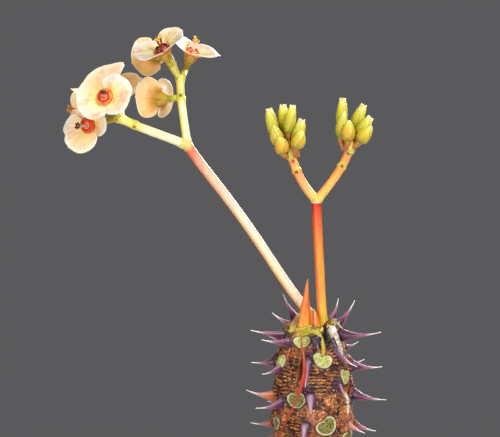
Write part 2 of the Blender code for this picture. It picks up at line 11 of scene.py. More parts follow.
import bpy
import numpy as np
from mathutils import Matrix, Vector


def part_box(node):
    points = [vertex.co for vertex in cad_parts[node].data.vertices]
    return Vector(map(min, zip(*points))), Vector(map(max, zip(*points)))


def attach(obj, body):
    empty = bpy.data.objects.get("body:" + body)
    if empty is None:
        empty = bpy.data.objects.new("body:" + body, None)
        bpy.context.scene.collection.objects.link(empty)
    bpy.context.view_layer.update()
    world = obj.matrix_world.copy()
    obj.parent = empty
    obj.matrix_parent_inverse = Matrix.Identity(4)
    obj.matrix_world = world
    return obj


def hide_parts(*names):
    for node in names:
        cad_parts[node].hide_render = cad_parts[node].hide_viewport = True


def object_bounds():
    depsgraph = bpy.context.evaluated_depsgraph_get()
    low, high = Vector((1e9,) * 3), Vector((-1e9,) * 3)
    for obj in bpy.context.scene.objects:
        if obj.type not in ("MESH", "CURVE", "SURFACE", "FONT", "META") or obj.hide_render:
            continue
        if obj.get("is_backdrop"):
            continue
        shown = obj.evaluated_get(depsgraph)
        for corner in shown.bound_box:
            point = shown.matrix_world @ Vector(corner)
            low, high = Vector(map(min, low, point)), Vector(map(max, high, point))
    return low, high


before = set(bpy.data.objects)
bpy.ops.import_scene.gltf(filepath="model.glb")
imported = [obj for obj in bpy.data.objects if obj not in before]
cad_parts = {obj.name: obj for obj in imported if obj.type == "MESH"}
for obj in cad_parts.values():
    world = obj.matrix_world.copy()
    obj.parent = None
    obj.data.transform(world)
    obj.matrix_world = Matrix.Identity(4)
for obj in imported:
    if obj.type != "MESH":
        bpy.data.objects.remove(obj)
cad_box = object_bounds()

bl_info = {
    "name": "Thorny Euphorbia",
    "version": (1, 0, 0),
    "blender": (4, 5, 0),
    "location": "View3D > Sidebar > Euphorbia",
    "description": "Builds the visible surfaces of a potted thorny euphorbia round its frame",
    "category": "Add Mesh",
}

MM = 0.001
FRONT = np.array((0.0, -1.0, 0.0))
TURN = 2 * math.pi

# ---------------------------------------------------------------- plan, in millimetres and degrees

POT_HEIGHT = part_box("pot")[1].z / MM
POT_RIM_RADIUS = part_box("pot")[1].x / MM
# Outline of the pot's wall as (radius, height): up the inside, over the rim and down the outside.
POT_OUTLINE = (
    (0.0, 8.0), (32.8, 8.0), (35.6, 10.4), (51.3, POT_HEIGHT - 1.8), (53.0, POT_HEIGHT), (58.6, POT_HEIGHT),
    (POT_RIM_RADIUS, POT_HEIGHT - 1.6), (58.8, 82.6), (57.4, 81.0), (54.6, 81.0), (54.0, 79.0), (41.4, 1.6),
    (39.8, 0.0), (0.0, 0.0),
)
POT_ROWS = 260
POT_SIDES = 160
POT_ROUNDING = 0.9
POT_WAVE = 0.15  # how uneven the thrown wall is
DRAIN_RADIUS = 4.5
DRAIN_CIRCLE_RADIUS = 24.0
DRAIN_ANGLES = (60.0, 180.0, 300.0)  # none of them lies under the middle
DRAIN_ROD_HEIGHTS = (-6.0, 2.0, 6.0, 16.0)  # the cutting rods run through the floor of the pot
EDGE_ANGLE = 35.0  # edges sharper than this are creased

SOIL_EDGE_RADIUS = 49.7
SOIL_EDGE_HEIGHT = 93.5
SOIL_CROWN_HEIGHT = 95.6
SOIL_DEPTH = 9.0  # how far down the visible crust goes
SOIL_RINGS = 120
SOIL_SIDES = 240
GRIT_REACH = (16.5, 48.0)  # where grit lies, from the stem's axis
GRIT_RISE = 0.45  # height of a grain's middle above the soil

# Outline of the stem from inside the soil to its tip, as (radius, height).
STEM_OUTLINE = (
    (12.8, 92.0), (13.4, 99.5), (13.8, 104.0), (14.0, 110.0), (14.1, 118.0), (14.2, 134.0), (14.3, 146.0),
    (14.4, 158.0), (14.4, 166.0), (14.1, 170.5), (13.2, 174.5), (11.6, 178.0), (10.1, 181.5), (9.5, 184.0),
    (8.6, 186.2), (6.4, 187.4), (3.0, 188.0), (0.2, 188.2),
)
STEM_ROWS = 320
STEM_COLUMNS = 300
LEAST_REACH = 6.0  # widths of scars and flares are worked out as if the stem were never slimmer than this
CRACK_SPACING = 1.35

# The spiral of leaf scars: nine upright columns, a scar every SCAR_PITCH down each.
COLUMN_COUNT = 9
FIRST_COLUMN_ANGLE = -25.0
FIRST_SCAR_HEIGHT = 181.8
SCAR_PITCH = 22.9
SCAR_STEP = 6.6
LOWEST_SCAR = 111.0
HIGHEST_SCAR = 186.0
SPINE_OFFSET_ANGLE = 25.0
SPINE_SPLAY_ANGLE = 12.0
SPINE_TILT = 1.6  # how much higher the right spine of a pair stands than its scar, and the left one lower
SPINE_TILTS = ((150, 172, 180, 186), (-14, -7, 4, 42))  # heights, and how far up the spines there point
SPINE_LENGTH = 11.6
SPINE_LENGTH_CHANGE = 2.2
SPINE_ROOT_RISE = 0.6
SPINE_ROOT_DEPTH = 2.4
STEEP_SPINE_BOW = 2.7  # how far a spine that hangs down along the stem bows out over the bark
# Spines that differ from the rule, by column, row from the top and side: degrees further round, rise of the
# root, upward tilt in degrees, length.
ODD_SPINES = {
    (0, 0, -1): (0, 1.9, 6, 13.4), (0, 0, 1): (0, -0.4, -62, 5.5),
    (0, 1, -1): (0, 2.8, -9, 12.0), (0, 1, 1): (-8, 2.5, -70, 7.5),
    (1, 0, -1): (2, 3.3, -74, 11.6), (1, 0, 1): (0, 2.6, -29, 11.8),
    (1, 1, -1): (0, 0.8, -60, 7.5), (1, 1, 1): (12, -2.1, -24, 8.6),
    (2, 0, -1): (7, 0.0, -31, 9.6), (2, 0, 1): (0, 2.9, -7, 12.4), (2, 1, 1): (0, 2.8, -19, 9.7),
    (3, 0, -1): (0, 1.4, 5, 18.2), (3, 1, -1): (0, 2.4, -7, 15.0),
    (4, 0, -1): (0, 2.2, 12, 6.8), (5, 0, -1): (-30, 1.1, 10, 8.5),
    (7, 0, 1): (0, 0.7, 10, 15.2), (7, 1, 1): (0, 1.2, 11, 11.8),
    (8, 0, -1): (0, 0.7, -7, 10.1), (8, 0, 1): (-18, -2.9, -14, 11.0), (8, 1, -1): (0, 0.5, -9, 9.3),
}
SPINES_IN_PAINTED_SHADE = {(0, 0, 1): 0.12}  # spines painted dark as shade: how far their colours run, as a share of the usual
LOST_SPINES = {(3, 0, 1), (3, 1, 1), (4, 1, -1), (6, 0, 1), (8, 1, 1)}
TIP_SPINES = ((-122, 188.6, 57, 11.8), (-90, 187.2, 30, 9.6), (117, 188.6, 64, 9.3), (96, 186.9, 50, 12.6))
# Spines whose flesh turned orange or red: the same key, and how far from 0 to 1.
WARM_SPINES = {(7, 1, 1): 1.0, (1, 1, 1): 0.7, (8, 1, -1): 0.55, (2, 1, 1): 0.4}
# Scars that differ from the rule: degrees further round, rise, lean of the notch to the left in radians and
# size.
ODD_SCARS = {
    (0, 0): (0, 0.1, 0.1, 0.76), (1, 0): (-2, 0.3, -0.35, 0.88), (8, 0): (9, -0.5, 0.2, 0.74),
    (0, 1): (-2, 2.0, 0.05, 0.96), (1, 1): (2, -1.0, 0.6, 1.06), (2, 0): (-6, 0.5, -0.3, 0.9),
    (8, 1): (-3, -1.0, 0.1, 0.85), (2, 1): (4, 0.1, 0.2, 0.95),
}
SLIM_SCARS = {(8, 0): 0.5, (2, 0): 0.72, (8, 1): 0.75}  # scars narrower than the rule, by share of the width
# Painted shadow below the bud stalk: a hollow sunk into the stem and painted near-black. Angle, height, half
# width, half height.
PIT = (24.0, 184.6, 1.7, 2.9)

CUP_LENGTH = 6.5
GLAND_CLEARANCE = 0.3  # between a cup's mouth and the frame's disc of glands
FLOWERS = "abcdefgh"
# How pink each flower's petals are, from 0 to 1.
PETAL_BLUSH = {"a": 0.12, "b": 0.85, "c": 0.4, "d": 0.45, "e": 0.1, "f": 0.35, "g": 0.05, "h": 0.3}
# Where each pair of petals has its pointed tips, as a share of the fan, and how long they are.
PETAL_POINTS = {
    "a": ((0.0, 0.3), (0.2, 0.3)), "c": ((-0.12, 1.3), (0.0, 0.3)), "g": ((0.05, 0.9), (0.0, 0.5)),
}
PLAIN_POINTS = ((0.0, 0.5), (0.05, 0.5))
# Notches in a petal's rim, by flower and petal: place as a share of the fan, depth as a share of the reach.
PETAL_NOTCHES = {("b", 1): (-0.3, 0.14), ("a", 1): (0.4, 0.05), ("d", 2): (0.2, 0.08)}
PETAL_FOOT = -1.3  # height of a petal's foot against the cup's mouth
FOOT_RADIUS = 2.6  # of the arc in which a petal clasps the cup
FOOT_FAN = 88.0  # degrees from the arc's middle to its ends
RIM_FAN = 122.0  # degrees from the rim's middle to its ends
PETAL_SIZES = {("f", 2): 0.6, ("c", 1): 0.88}  # petals smaller than the frame's, as a share of it
JOINED_ABOVE = {"a"}  # flowers whose second petal runs on behind the first at the top
# Rim of such a petal on its upper side: degrees from its middle, and distance from the cup in millimetres.
JOINED_RIM = ((0.0, 19.0, 25.5, 29.0, 48.0, 75.0, 92.0, 112.0, 130.0, 135.0, 140.0),
              (10.7, 10.6, 14.0, 10.2, 9.7, 10.2, 11.0, 12.4, 15.0, 15.0, 8.0))
FUNNELS = {"e": 0.9, "g": 0.75, "h": 0.25}  # how ribbed and brown the petals' undersides are near the cup
# Colour of each disc of glands: 0 gold, 0.5 red, 1 maroon, at the ring's outside and inside.
GLAND_TONES = {"a": (0.12, 0.5), "b": (0.36, 0.44), "c": (0.3, 0.5), "d": (0.3, 0.55), "e": (0.75, 1.0),
               "f": (0.3, 0.5), "g": (0.15, 0.7), "h": (0.3, 0.5)}
# Stamens of each flower: number, length, spread, the way they lean, thread colour from white at 0 to maroon
# at 1, pollen colour from yellow at 0 to black at 1.
STAMENS = {
    "a": (4, 3.0, 0.2, (0.1, 0.0, 0.75), 0.3, 0.95), "b": (6, 4.4, 0.28, (-0.95, 0.1, 0.1), 0.15, 1.0),
    "c": (5, 9.5, 0.25, (-0.9, -0.2, -0.1), 0.2, 0.1), "d": (5, 8.4, 0.25, (-0.9, -0.4, -0.25), 0.45, 0.4),
    "e": (8, 4.6, 0.3, (0.15, 0.0, 0.1), 0.8, 0.25), "f": (3, 3.0, 0.4, (0.0, 0.0, 0.0), 0.3, 0.2),
    "g": (8, 5.0, 0.28, (-0.1, 0.1, 0.2), 0.05, 0.35), "h": (3, 3.0, 0.4, (0.0, 0.0, 0.0), 0.3, 0.2),
}

SAC_RADII = (0.36, 0.36, 0.42)  # of a pollen sac

# Colours of each stalk, first its lit side and then its shaded one, as (share of the length from its foot,
# colour).
STALK_COLOURS = {
    "pink_stalk_skin": (
        ((0.0, "F4D2A0"), (0.1, "F6D8C0"), (0.6, "F6D6C4"), (0.85, "EDAE9C"), (0.96, "DE6E58"),
         (0.99, "EFC9A0")),
        ((0.0, "E0922A"), (0.3, "E8A24A"), (0.7, "E8A06A"), (0.88, "E08468"), (0.96, "C8382A"),
         (0.99, "E2B27A")),
    ),
    "green_stalk_skin": (
        ((0.0, "F0DE90"), (0.12, "F3E6C2"), (0.56, "F1E6B6"), (0.72, "C4C848"), (0.85, "EAD890"),
         (1.0, "CFCB62")),
        ((0.0, "DDBE4A"), (0.15, "E6CE68"), (0.56, "DECC60"), (0.72, "B4BC3C"), (0.85, "D8B450"),
         (1.0, "B4B244")),
    ),
    "orange_stalk_skin": (
        ((0.0, "DCC22E"), (0.1, "E0B834"), (0.2, "ECA23C"), (0.7, "E8803A"), (0.93, "D8401C"),
         (0.962, "C8260F"), (0.968, "F6DFA8"), (0.99, "E6CC70")),
        ((0.0, "D2B228"), (0.1, "DCA42A"), (0.25, "E07E28"), (0.75, "D65A24"), (0.93, "C42A12"),
         (0.962, "B01A0C"), (0.968, "E8C88A"), (0.99, "D2B650")),
    ),
    "bud_branch_skin": (
        ((0.0, "DCC456"), (0.12, "E8B860"), (0.35, "F2AC68"), (0.64, "E8924C"), (0.69, "C8BC4C"),
         (0.76, "E09850"), (1.0, "DC9A52")),
        ((0.0, "D2B446"), (0.12, "E09A44"), (0.35, "E67436"), (0.64, "DC6A30"), (0.69, "AEA43A"),
         (0.76, "D07438"), (1.0, "C06A34")),
    ),
}
BUD_BRANCH_NODES = ((0.04, 0.3, 0.05), (0.66, 0.3, 0.03), (0.97, 0.5, 0.06))
# Each stalk: piece, CAD node, skin, slot; (rows, how far it runs on into its neighbours at its foot and top,
# degree of the curve fitted to it), radius, angle of its shaded side; swollen nodes as (share of the length,
# rise, width); bract scars as (point, radius).
STALKS = (
    ("long_stalk", "flower_stalk", "pink_stalk_skin", "pink_stalk", (140, 2.6, 0.6, 4), 1.85, 200,
     ((0.985, 0.32, 0.018),), ()),
    ("left_branch", "flower_stalk_left_branch", "green_stalk_skin", "green_stalk",
     (90, 2.2, 1.4, 3), 1.62, 250,
     ((0.06, 0.35, 0.05), (0.72, 0.3, 0.03), (0.97, 0.7, 0.07)),
     (((-67.7, -3.8, 262.6), 0.9), ((-74.6, -3.4, 265.2), 1.0))),
    ("upper_branch", "flower_stalk_upper_branch", "green_stalk_skin", "green_stalk",
     (90, 2.6, 1.6, 3), 1.5, 190,
     ((0.06, 0.3, 0.05), (0.66, 0.35, 0.035), (0.97, 0.45, 0.06)),
     (((-50.2, -2.4, 274.6), 0.9), ((-53.0, -1.6, 273.6), 1.1), ((-52.2, -1.6, 281.0), 1.0))),
    ("upright_stalk", "bud_stalk", "orange_stalk_skin", "orange_stalk", (120, 2.4, 0.4, 4), 1.8, 180,
     ((0.0, 0.5, 0.1), (0.99, 0.45, 0.015)), ()),
    ("left_bud_branch", "bud_stalk_left_branch", "bud_branch_skin", "orange_stalk",
     (80, 2.6, 1.6, 3), 1.68, 220,
     BUD_BRANCH_NODES, (((-6.6, -2.9, 245.6), 1.0), ((-7.9, -2.9, 249.8), 1.0))),
    ("right_bud_branch", "bud_stalk_right_branch", "bud_branch_skin", "orange_stalk",
     (80, 2.6, 1.6, 3), 1.68, 220,
     BUD_BRANCH_NODES, (((10.6, -2.9, 248.0), 1.0), ((12.8, -2.9, 252.8), 1.0))),
)
STALK_COLUMNS = 28
STALK_PITS = 0.05  # height of the fine unevenness along a stalk

BUD_WAIST = 0.68  # share of a CAD bud's length that lies above its widest ring
USUAL_BUD_LENGTH = 7.6
BUD_ROWS = 56
BUD_COLUMNS = 64
# Outline of a bud of the usual length: shares of its length from the foot, and the radius there.
BUD_STATIONS = (0.0, 0.03, 0.1, 0.22, 0.4, 0.6, 0.8, 0.93, 1.0)
OPEN_BUD_RADII = (0.9, 1.5, 2.05, 2.4, 2.55, 2.4, 2.05, 1.6, 1.1)
CLOSED_BUD_RADII = (0.9, 1.5, 2.05, 2.4, 2.55, 2.2, 1.5, 0.75, 0.2)
LEFT_BUDS = [f"left_bud_{number}" for number in range(1, 8)]
RIGHT_BUDS = [f"right_bud_{number}" for number in range(1, 7)]
CLOSED_BUDS = {"left_bud_1", "left_bud_2", "left_bud_7", "right_bud_2", "right_bud_3", "right_bud_6"}
GOLDEN_BUDS = {
    "left_bud_1": 1.0, "left_bud_7": 0.6, "right_bud_3": 0.7, "right_bud_6": 0.35, "left_bud_2": 0.5,
}


# ---------------------------------------------------------------- numbers


def fade(value, low, high):
    """Smooth step: 0 at low, 1 at high, and level beyond; low may be the larger."""
    share = np.clip((value - low) / (high - low), 0.0, 1.0)
    return share * share * (3.0 - 2.0 * share)


def bell(value, centre, width):
    """Bell curve: 1 at the centre, falling as the exponential of minus the square of distance over width."""
    return np.exp(-(((value - centre) / width) ** 2))


def places(x, y, z):
    """Points from three arrays of coordinates that broadcast together."""
    return np.stack(np.broadcast_arrays(x, y, z), axis=-1)


def shares(count):
    """A column of numbers from 0 to 1."""
    return np.linspace(0.0, 1.0, count)[:, None]


def angles(count):
    """A row of angles evenly round a full turn."""
    return np.linspace(0.0, TURN, count, endpoint=False)[None]


def round_axis(radius, turn, height):
    """Points by their distance from the upright axis, angle from the front and height."""
    return places(radius * np.sin(turn), -radius * np.cos(turn), height)


def unit(vectors):
    """Vectors scaled to length 1."""
    return vectors / np.maximum(np.linalg.norm(vectors, axis=-1, keepdims=True), 1e-9)


def lattice_noise(points, seed):
    """Value noise from -1 to 1: a scrambled number at each whole-number corner, blended in between."""
    low = np.floor(points).astype(np.int64)
    share = points - low
    share = share * share * (3.0 - 2.0 * share)
    total = np.zeros(points.shape[:-1])
    for corner in product((0, 1), repeat=3):
        key = (low + np.array(corner)) * np.array((73856093, 19349663, 83492791))
        mixed = key[..., 0] ^ key[..., 1] ^ key[..., 2] ^ (seed * 40503)
        mixed = (mixed ^ (mixed >> 13)) * 60493
        value = ((mixed ^ (mixed >> 17)) & 65535) / 32767.5 - 1.0
        weight = np.where(np.array(corner, bool), share, 1.0 - share).prod(axis=-1)
        total += value * weight
    return total


def rough(points, size, seed=1, octaves=3):
    """Fractal noise from about -1 to 1, with lumps size millimetres apart; each octave is half the last."""
    total = 0.0
    for octave in range(octaves):
        total = total + lattice_noise(points * 2**octave / size, seed + octave) / 2**octave
    return total / 1.4


def eased(knots, count, rounding):
    """Evenly spaced points along a line of knots, with its corners rounded by a running mean."""
    knots = np.array(knots, float)
    steps = np.linalg.norm(np.diff(knots, axis=0), axis=1)
    length = np.concatenate(([0.0], np.cumsum(steps)))
    fine = np.linspace(0.0, length[-1], 2000)
    line = np.stack([np.interp(fine, length, column) for column in knots.T], axis=1)
    half = max(int(rounding / length[-1] * 2000), 1)
    padded = np.concatenate((np.repeat(line[:1], half, 0), line, np.repeat(line[-1:], half, 0)))
    kernel = np.ones(2 * half + 1) / (2 * half + 1)
    smooth = np.stack([np.convolve(column, kernel, "valid") for column in padded.T], axis=1)
    smooth[0], smooth[-1] = knots[0], knots[-1]
    wanted = np.linspace(0, 1999, count)
    return np.stack([np.interp(wanted, np.arange(2000), column) for column in smooth.T], axis=1)


def bezier(points, count):
    """Points on the cubic curve with four control points."""
    a, b, c, d = (np.array(point, float) for point in points)
    t = shares(count)
    return (1 - t) ** 3 * a + 3 * t * (1 - t) ** 2 * b + 3 * t**2 * (1 - t) * c + t**3 * d


# ---------------------------------------------------------------- patches: points, faces and marks


def grid_faces(index, around):
    """Quads between neighbouring rows and columns of a grid of point numbers."""
    after = np.roll(index, -1, axis=1) if around else index[:, 1:]
    before = index if around else index[:, :-1]
    return np.stack((before[:-1], after[:-1], after[1:], before[1:]), axis=-1).reshape(-1, 4)


def enclosed(points, quads, tris):
    """Six times the volume that faces enclose: the sum of each triangle's triple product."""
    corners = np.concatenate((quads[:, :3], quads[:, (0, 2, 3)], tris))
    a, b, c = (points[corners[:, i]] for i in range(3))
    return float((a * np.cross(b, c)).sum())


def closed_skin(points, **marks):
    """A closed patch from a grid of points: its columns run round, and a fan of triangles closes each end."""
    rows, columns = points.shape[:2]
    index = np.arange(rows * columns).reshape(rows, columns)
    ends = points[[0, -1]].mean(axis=1)
    flat = np.concatenate((points.reshape(-1, 3), ends))
    quads = grid_faces(index, around=True)
    first, last = index[0], index[-1]
    foot = np.full(columns, rows * columns)
    tris = np.concatenate((
        np.stack((np.roll(first, -1), first, foot), axis=-1),
        np.stack((last, np.roll(last, -1), foot + 1), axis=-1),
    ))
    if enclosed(flat, quads, tris) < 0:
        quads, tris = quads[:, ::-1], tris[:, ::-1]
    spread = {}
    for name, values in marks.items():
        values = np.broadcast_to(values, (rows, columns))
        spread[name] = np.concatenate((values.ravel(), values[[0, -1]].mean(axis=1)))
    return flat, quads, tris, spread


def sheet_skin(points, thickness, **marks):
    """A closed thin sheet round a grid of points: two faces stand off along its normals, joined by a rim.

    The mark `upper` is 1 on the face that the normals point from.
    """
    normal = unit(np.cross(np.gradient(points, axis=0), np.gradient(points, axis=1)))
    rows, columns = points.shape[:2]
    count = rows * columns
    index = np.arange(count).reshape(rows, columns)
    offset = normal * (np.broadcast_to(thickness, (rows, columns))[..., None] / 2)
    flat = np.concatenate(((points + offset).reshape(-1, 3), (points - offset).reshape(-1, 3)))
    top = grid_faces(index, around=False)
    border = np.concatenate((index[0, :-1], index[:-1, -1], index[-1, :0:-1], index[:0:-1, 0]))
    after = np.roll(border, -1)
    rim = np.stack((border, border + count, after + count, after), axis=-1)
    quads = np.concatenate((top[:, ::-1], top + count, rim[:, ::-1]))
    tris = np.empty((0, 3), int)
    if enclosed(flat, quads, tris) < 0:
        quads = quads[:, ::-1]
    spread = {}
    for name, values in marks.items():
        spread[name] = np.tile(np.broadcast_to(values, (rows, columns)).ravel(), 2)
    spread["upper"] = np.repeat((1.0, 0.0), count)
    return flat, quads, tris, spread


def add_object(name, points, quads, tris):
    """A mesh object in the scene from points in millimetres and their faces."""
    mesh = bpy.data.meshes.new(name)
    mesh.from_pydata(points * MM, [], quads.tolist() + tris.tolist())
    made = bpy.data.objects.new(name, mesh)
    bpy.context.scene.collection.objects.link(made)
    return made


def add_piece(name, patches, material, slot, node):
    """One object from patches that share the same marks. It rides on the body and stands for a CAD node."""
    points = np.concatenate([patch[0] for patch in patches])
    starts = np.cumsum([0] + [len(patch[0]) for patch in patches[:-1]])
    quads = np.concatenate([patch[1] + start for patch, start in zip(patches, starts)])
    tris = np.concatenate([patch[2] + start for patch, start in zip(patches, starts)])
    piece = add_object(name, points, quads, tris)
    mesh = piece.data
    for mark in patches[0][3]:
        values = np.concatenate([patch[3][mark] for patch in patches])
        mesh.attributes.new(mark, "FLOAT", "POINT").data.foreach_set("value", values.astype(np.float32))
    mesh.shade_smooth()
    mesh.materials.append(material)
    mesh.validate()
    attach(piece, "root")
    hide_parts(node)
    return piece


def swept(path, radius, columns, deep=1.0):
    """A section carried along a path: points stand off by radius times cos(turn) aside and sin(turn) ahead.

    The side is square to the path and to the front, so turn 0 faces right and a quarter turn faces the front.
    """
    tangent = unit(np.gradient(path, axis=0))
    side = unit(np.cross(tangent, FRONT))
    forward = np.cross(side, tangent)
    turn = np.linspace(0.0, TURN, columns, endpoint=False)
    reach = np.broadcast_to(radius, (len(path), columns))[..., None]
    aside = np.cos(turn)[None, :, None] * side[:, None]
    ahead = deep * np.sin(turn)[None, :, None] * forward[:, None]
    return path[:, None] + reach * (aside + ahead)


def bead(centre, radii, rows=7, columns=8):
    """A closed ball stretched by three radii: latitude rows by longitude columns."""
    polar = np.linspace(0.12, math.pi - 0.12, rows)[:, None]
    turn = angles(columns)
    ball = places(np.sin(polar) * np.cos(turn), np.sin(polar) * np.sin(turn), np.cos(polar))
    return np.array(centre) + ball * np.array(radii)


# ---------------------------------------------------------------- reading the frame


def node_points(name):
    """The distinct corner points of a CAD node, in millimetres."""
    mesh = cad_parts[name].data
    flat = np.empty(3 * len(mesh.vertices))
    mesh.vertices.foreach_get("co", flat)
    return np.unique(np.round(flat.reshape(-1, 3) / MM, 3), axis=0)


def rod_line(name, count, before=0.0, beyond=0.0, degree=4):
    """Centreline of a round rod node, running upwards: polynomials fitted to its points along its length."""
    points = node_points(name)
    middle = points.mean(axis=0)
    along = np.linalg.svd(points - middle, full_matrices=False)[2][0]
    along = along if along[2] > 0 else -along
    place = (points - middle) @ along
    fits = [np.polyfit(place, column, degree) for column in points.T]
    wanted = np.linspace(place.min(), place.max(), count)
    line = np.stack([np.polyval(fit, wanted) for fit in fits], axis=1)
    parts = [line]
    if before:
        parts.insert(0, line[:1] - unit(line[1:2] - line[:1]) * before)
    if beyond:
        parts.append(line[-1:] + unit(line[-1:] - line[-2:-1]) * beyond)
    return eased(np.concatenate(parts), count, 0.3)


def flower_frame(letter):
    """A cup's mouth, and unit directions along its first petal, across it and out of the cup."""
    disc = node_points(f"flower_{letter}_glands")
    middle = disc.mean(axis=0)
    out = np.linalg.svd(disc - middle, full_matrices=False)[2][2]
    if (middle - node_points(f"flower_{letter}_cup").mean(axis=0)) @ out < 0:
        out = -out
    mouth = middle + out * (((disc - middle) @ out).min() - GLAND_CLEARANCE)
    petal = node_points(f"flower_{letter}_petal_1").mean(axis=0) - mouth
    along = unit(petal - out * (petal @ out))
    return mouth, np.array((along, np.cross(out, along), out))


def bud_frame(name):
    """A bud's foot, axis and length, and where its fine stalk starts, from the CAD bud's widest points."""
    points = node_points(name)
    top = points[points[:, 2].argmax()]
    distance = np.linalg.norm(points - top, axis=1)
    body = points[distance < 0.62 * distance.max()]
    axis = np.linalg.svd(body - body.mean(axis=0), full_matrices=False)[2][0]
    axis = axis if axis[2] > 0 else -axis
    middle = body.mean(axis=0)
    place = (body - middle) @ axis
    girth = np.linalg.norm(body - middle - place[:, None] * axis, axis=1)
    tip = middle + axis * place.max()
    widest = place.max() - place[girth.argmax()]
    start = points[distance > distance.max() - 0.9].mean(axis=0)
    length = widest / BUD_WAIST
    return tip - axis * length, axis, length, start


# ---------------------------------------------------------------- materials

# Speckles have real sizes in mm. The grain of clay, pumice, wax and pollen is too fine to show at its real
# size, so it is drawn as coarse as it needs to show: at 0.25 to 1 mm.
RAMP = "ShaderNodeValToRGB"
MIX_AMOUNT, MIX_UNDER, MIX_OVER, MIX_RESULT = 0, 6, 7, 2  # sockets of a Mix node set to colour
NOISE_ROUGHNESS = 0.55
SHINE_LUMPS = 1.7  # size of the patches in which a surface is a little duller or shinier
SHINE_CHANGE = 0.1
FLESH_DEPTH = 0.6 * MM  # how far light runs under the skin of stalks and buds
BRACT_DEPTH = 1.4 * MM


def linear(hex_colour):
    """Linear colour with full alpha from an sRGB hex colour."""
    channels = [int(hex_colour[i:i + 2], 16) / 255 for i in (0, 2, 4)]
    return (*(c / 12.92 if c <= 0.04045 else ((c + 0.055) / 1.055) ** 2.4 for c in channels), 1.0)


def add_node(tree, kind, inputs=(), out=0, stops=(), **settings):
    """Add a node, set its properties, fill or link its inputs, give a ramp its stops, and return one output.

    Colours are given as sRGB hex, and a stop is (place, colour).
    """
    made = tree.nodes.new(kind)
    for name, value in settings.items():
        setattr(made, name, value)
    for name, value in dict(inputs).items():
        if isinstance(value, bpy.types.NodeSocket):
            tree.links.new(value, made.inputs[name])
        else:
            made.inputs[name].default_value = linear(value) if isinstance(value, str) else value
    for number, (place, colour) in enumerate(stops):
        ramp = made.color_ramp.elements
        stop = ramp[number] if number < 2 else ramp.new(place)
        stop.position = place
        stop.color = linear(colour)
    return made.outputs[out]


def speckle(tree, size_mm, detail=3, stretch=1.0):
    """Noise on object coordinates with lumps of a real size; a stretch below 1 draws them out upwards."""
    scale = stretch if isinstance(stretch, tuple) else (1.0, 1.0, stretch)
    place = add_node(tree, "ShaderNodeTexCoord", out="Object")
    place = add_node(tree, "ShaderNodeMapping", {"Vector": place, "Scale": scale})
    inputs = {"Vector": place, "Scale": 1.0 / (size_mm * MM), "Detail": detail, "Roughness": NOISE_ROUGHNESS}
    return add_node(tree, "ShaderNodeTexNoise", inputs, out="Fac")


def amount(tree, where):
    """How strongly something shows: a plain number or a socket, a mark by its name, or patches of a speckle.

    Patches are (lump size in mm, detail, low, high) and their stretch, if any: 0 where the noise is below
    low, and 1 where it is above high.
    """
    if isinstance(where, str):
        return add_node(tree, "ShaderNodeAttribute", out="Fac", attribute_name=where)
    if isinstance(where, tuple):
        size_mm, detail, low, high, *stretch = where
        inputs = {"Value": speckle(tree, size_mm, detail, *stretch), "From Min": low, "From Max": high}
        return add_node(tree, "ShaderNodeMapRange", inputs, interpolation_type="SMOOTHSTEP")
    return where


def paint(tree, colour, *layers):
    """A colour under layers of (amount, colour) or (amount, colour, how it blends), laid on in turn."""
    for where, over, *mode in layers:
        inputs = {MIX_AMOUNT: amount(tree, where), MIX_UNDER: colour, MIX_OVER: over}
        settings = {"data_type": "RGBA", "blend_type": mode[0] if mode else "MIX"}
        colour = add_node(tree, "ShaderNodeMix", inputs, MIX_RESULT, **settings)
    return colour


def new_material(name):
    """An empty material and its node tree."""
    material = bpy.data.materials.new(name)
    material.use_nodes = True
    return material, material.node_tree


def finish_skin(material, colour, bumps, roughness, **fixed):
    """Join a colour and a chain of (height, depth in mm) bumps to a material's shader; returns the material.

    Roughness varies a little round its value. Fixed are the shader's other numbers, with _ for a space.
    """
    tree = material.node_tree
    shader = tree.nodes["Principled BSDF"]
    tree.links.new(colour, shader.inputs["Base Color"])
    chain = {}
    for height, depth in bumps:
        inputs = {"Height": height, "Distance": depth * MM, "Strength": 1.0, **chain}
        chain = {"Normal": add_node(tree, "ShaderNodeBump", inputs)}
    tree.links.new(chain["Normal"], shader.inputs["Normal"])
    low, high = max(roughness - SHINE_CHANGE, 0.0), min(roughness + SHINE_CHANGE, 1.0)
    inputs = {"Value": speckle(tree, SHINE_LUMPS), "To Min": low, "To Max": high}
    tree.links.new(add_node(tree, "ShaderNodeMapRange", inputs), shader.inputs["Roughness"])
    for name, value in fixed.items():
        shader.inputs[name.replace("_", " ")].default_value = value
    return material


def terracotta(settings):
    """Thrown terracotta, fired and unglazed: grainy and dull, with pale lime bloom where water dried."""
    material, tree = new_material("fired_terracotta")
    clay = add_node(tree, RAMP, {"Fac": speckle(tree, 26, 4)}, stops=(
        (0.3, settings.clay_dark), (0.7, settings.clay)))
    grit = ((0.9, 2, 0.62, 0.75), "C98862")
    lime = ((14, 5, 0.54, 0.8, 0.35), settings.bloom)
    turning_lines = speckle(tree, 1.6, 2, (0.04, 0.04, 1.0))
    bumps = ((speckle(tree, 0.7, 3), 0.12), (turning_lines, 0.1))
    return finish_skin(material, paint(tree, clay, grit, lime), bumps, 0.86)


def potting_soil(settings):
    """Moist peat: dark crumbs and fibres, almost without shine."""
    material, tree = new_material("moist_peat")
    crumbs = add_node(tree, RAMP, {"Fac": speckle(tree, 2.4, 6)}, stops=(
        (0.35, "140D08"), (0.5, settings.peat), (0.72, "5A412B")))
    fibres = ((1.2, 2, 0.62, 0.72, (1.0, 0.15, 1.0)), "7A5A38")
    return finish_skin(material, paint(tree, crumbs, fibres), ((speckle(tree, 1.1, 5), 0.5),), 0.93)


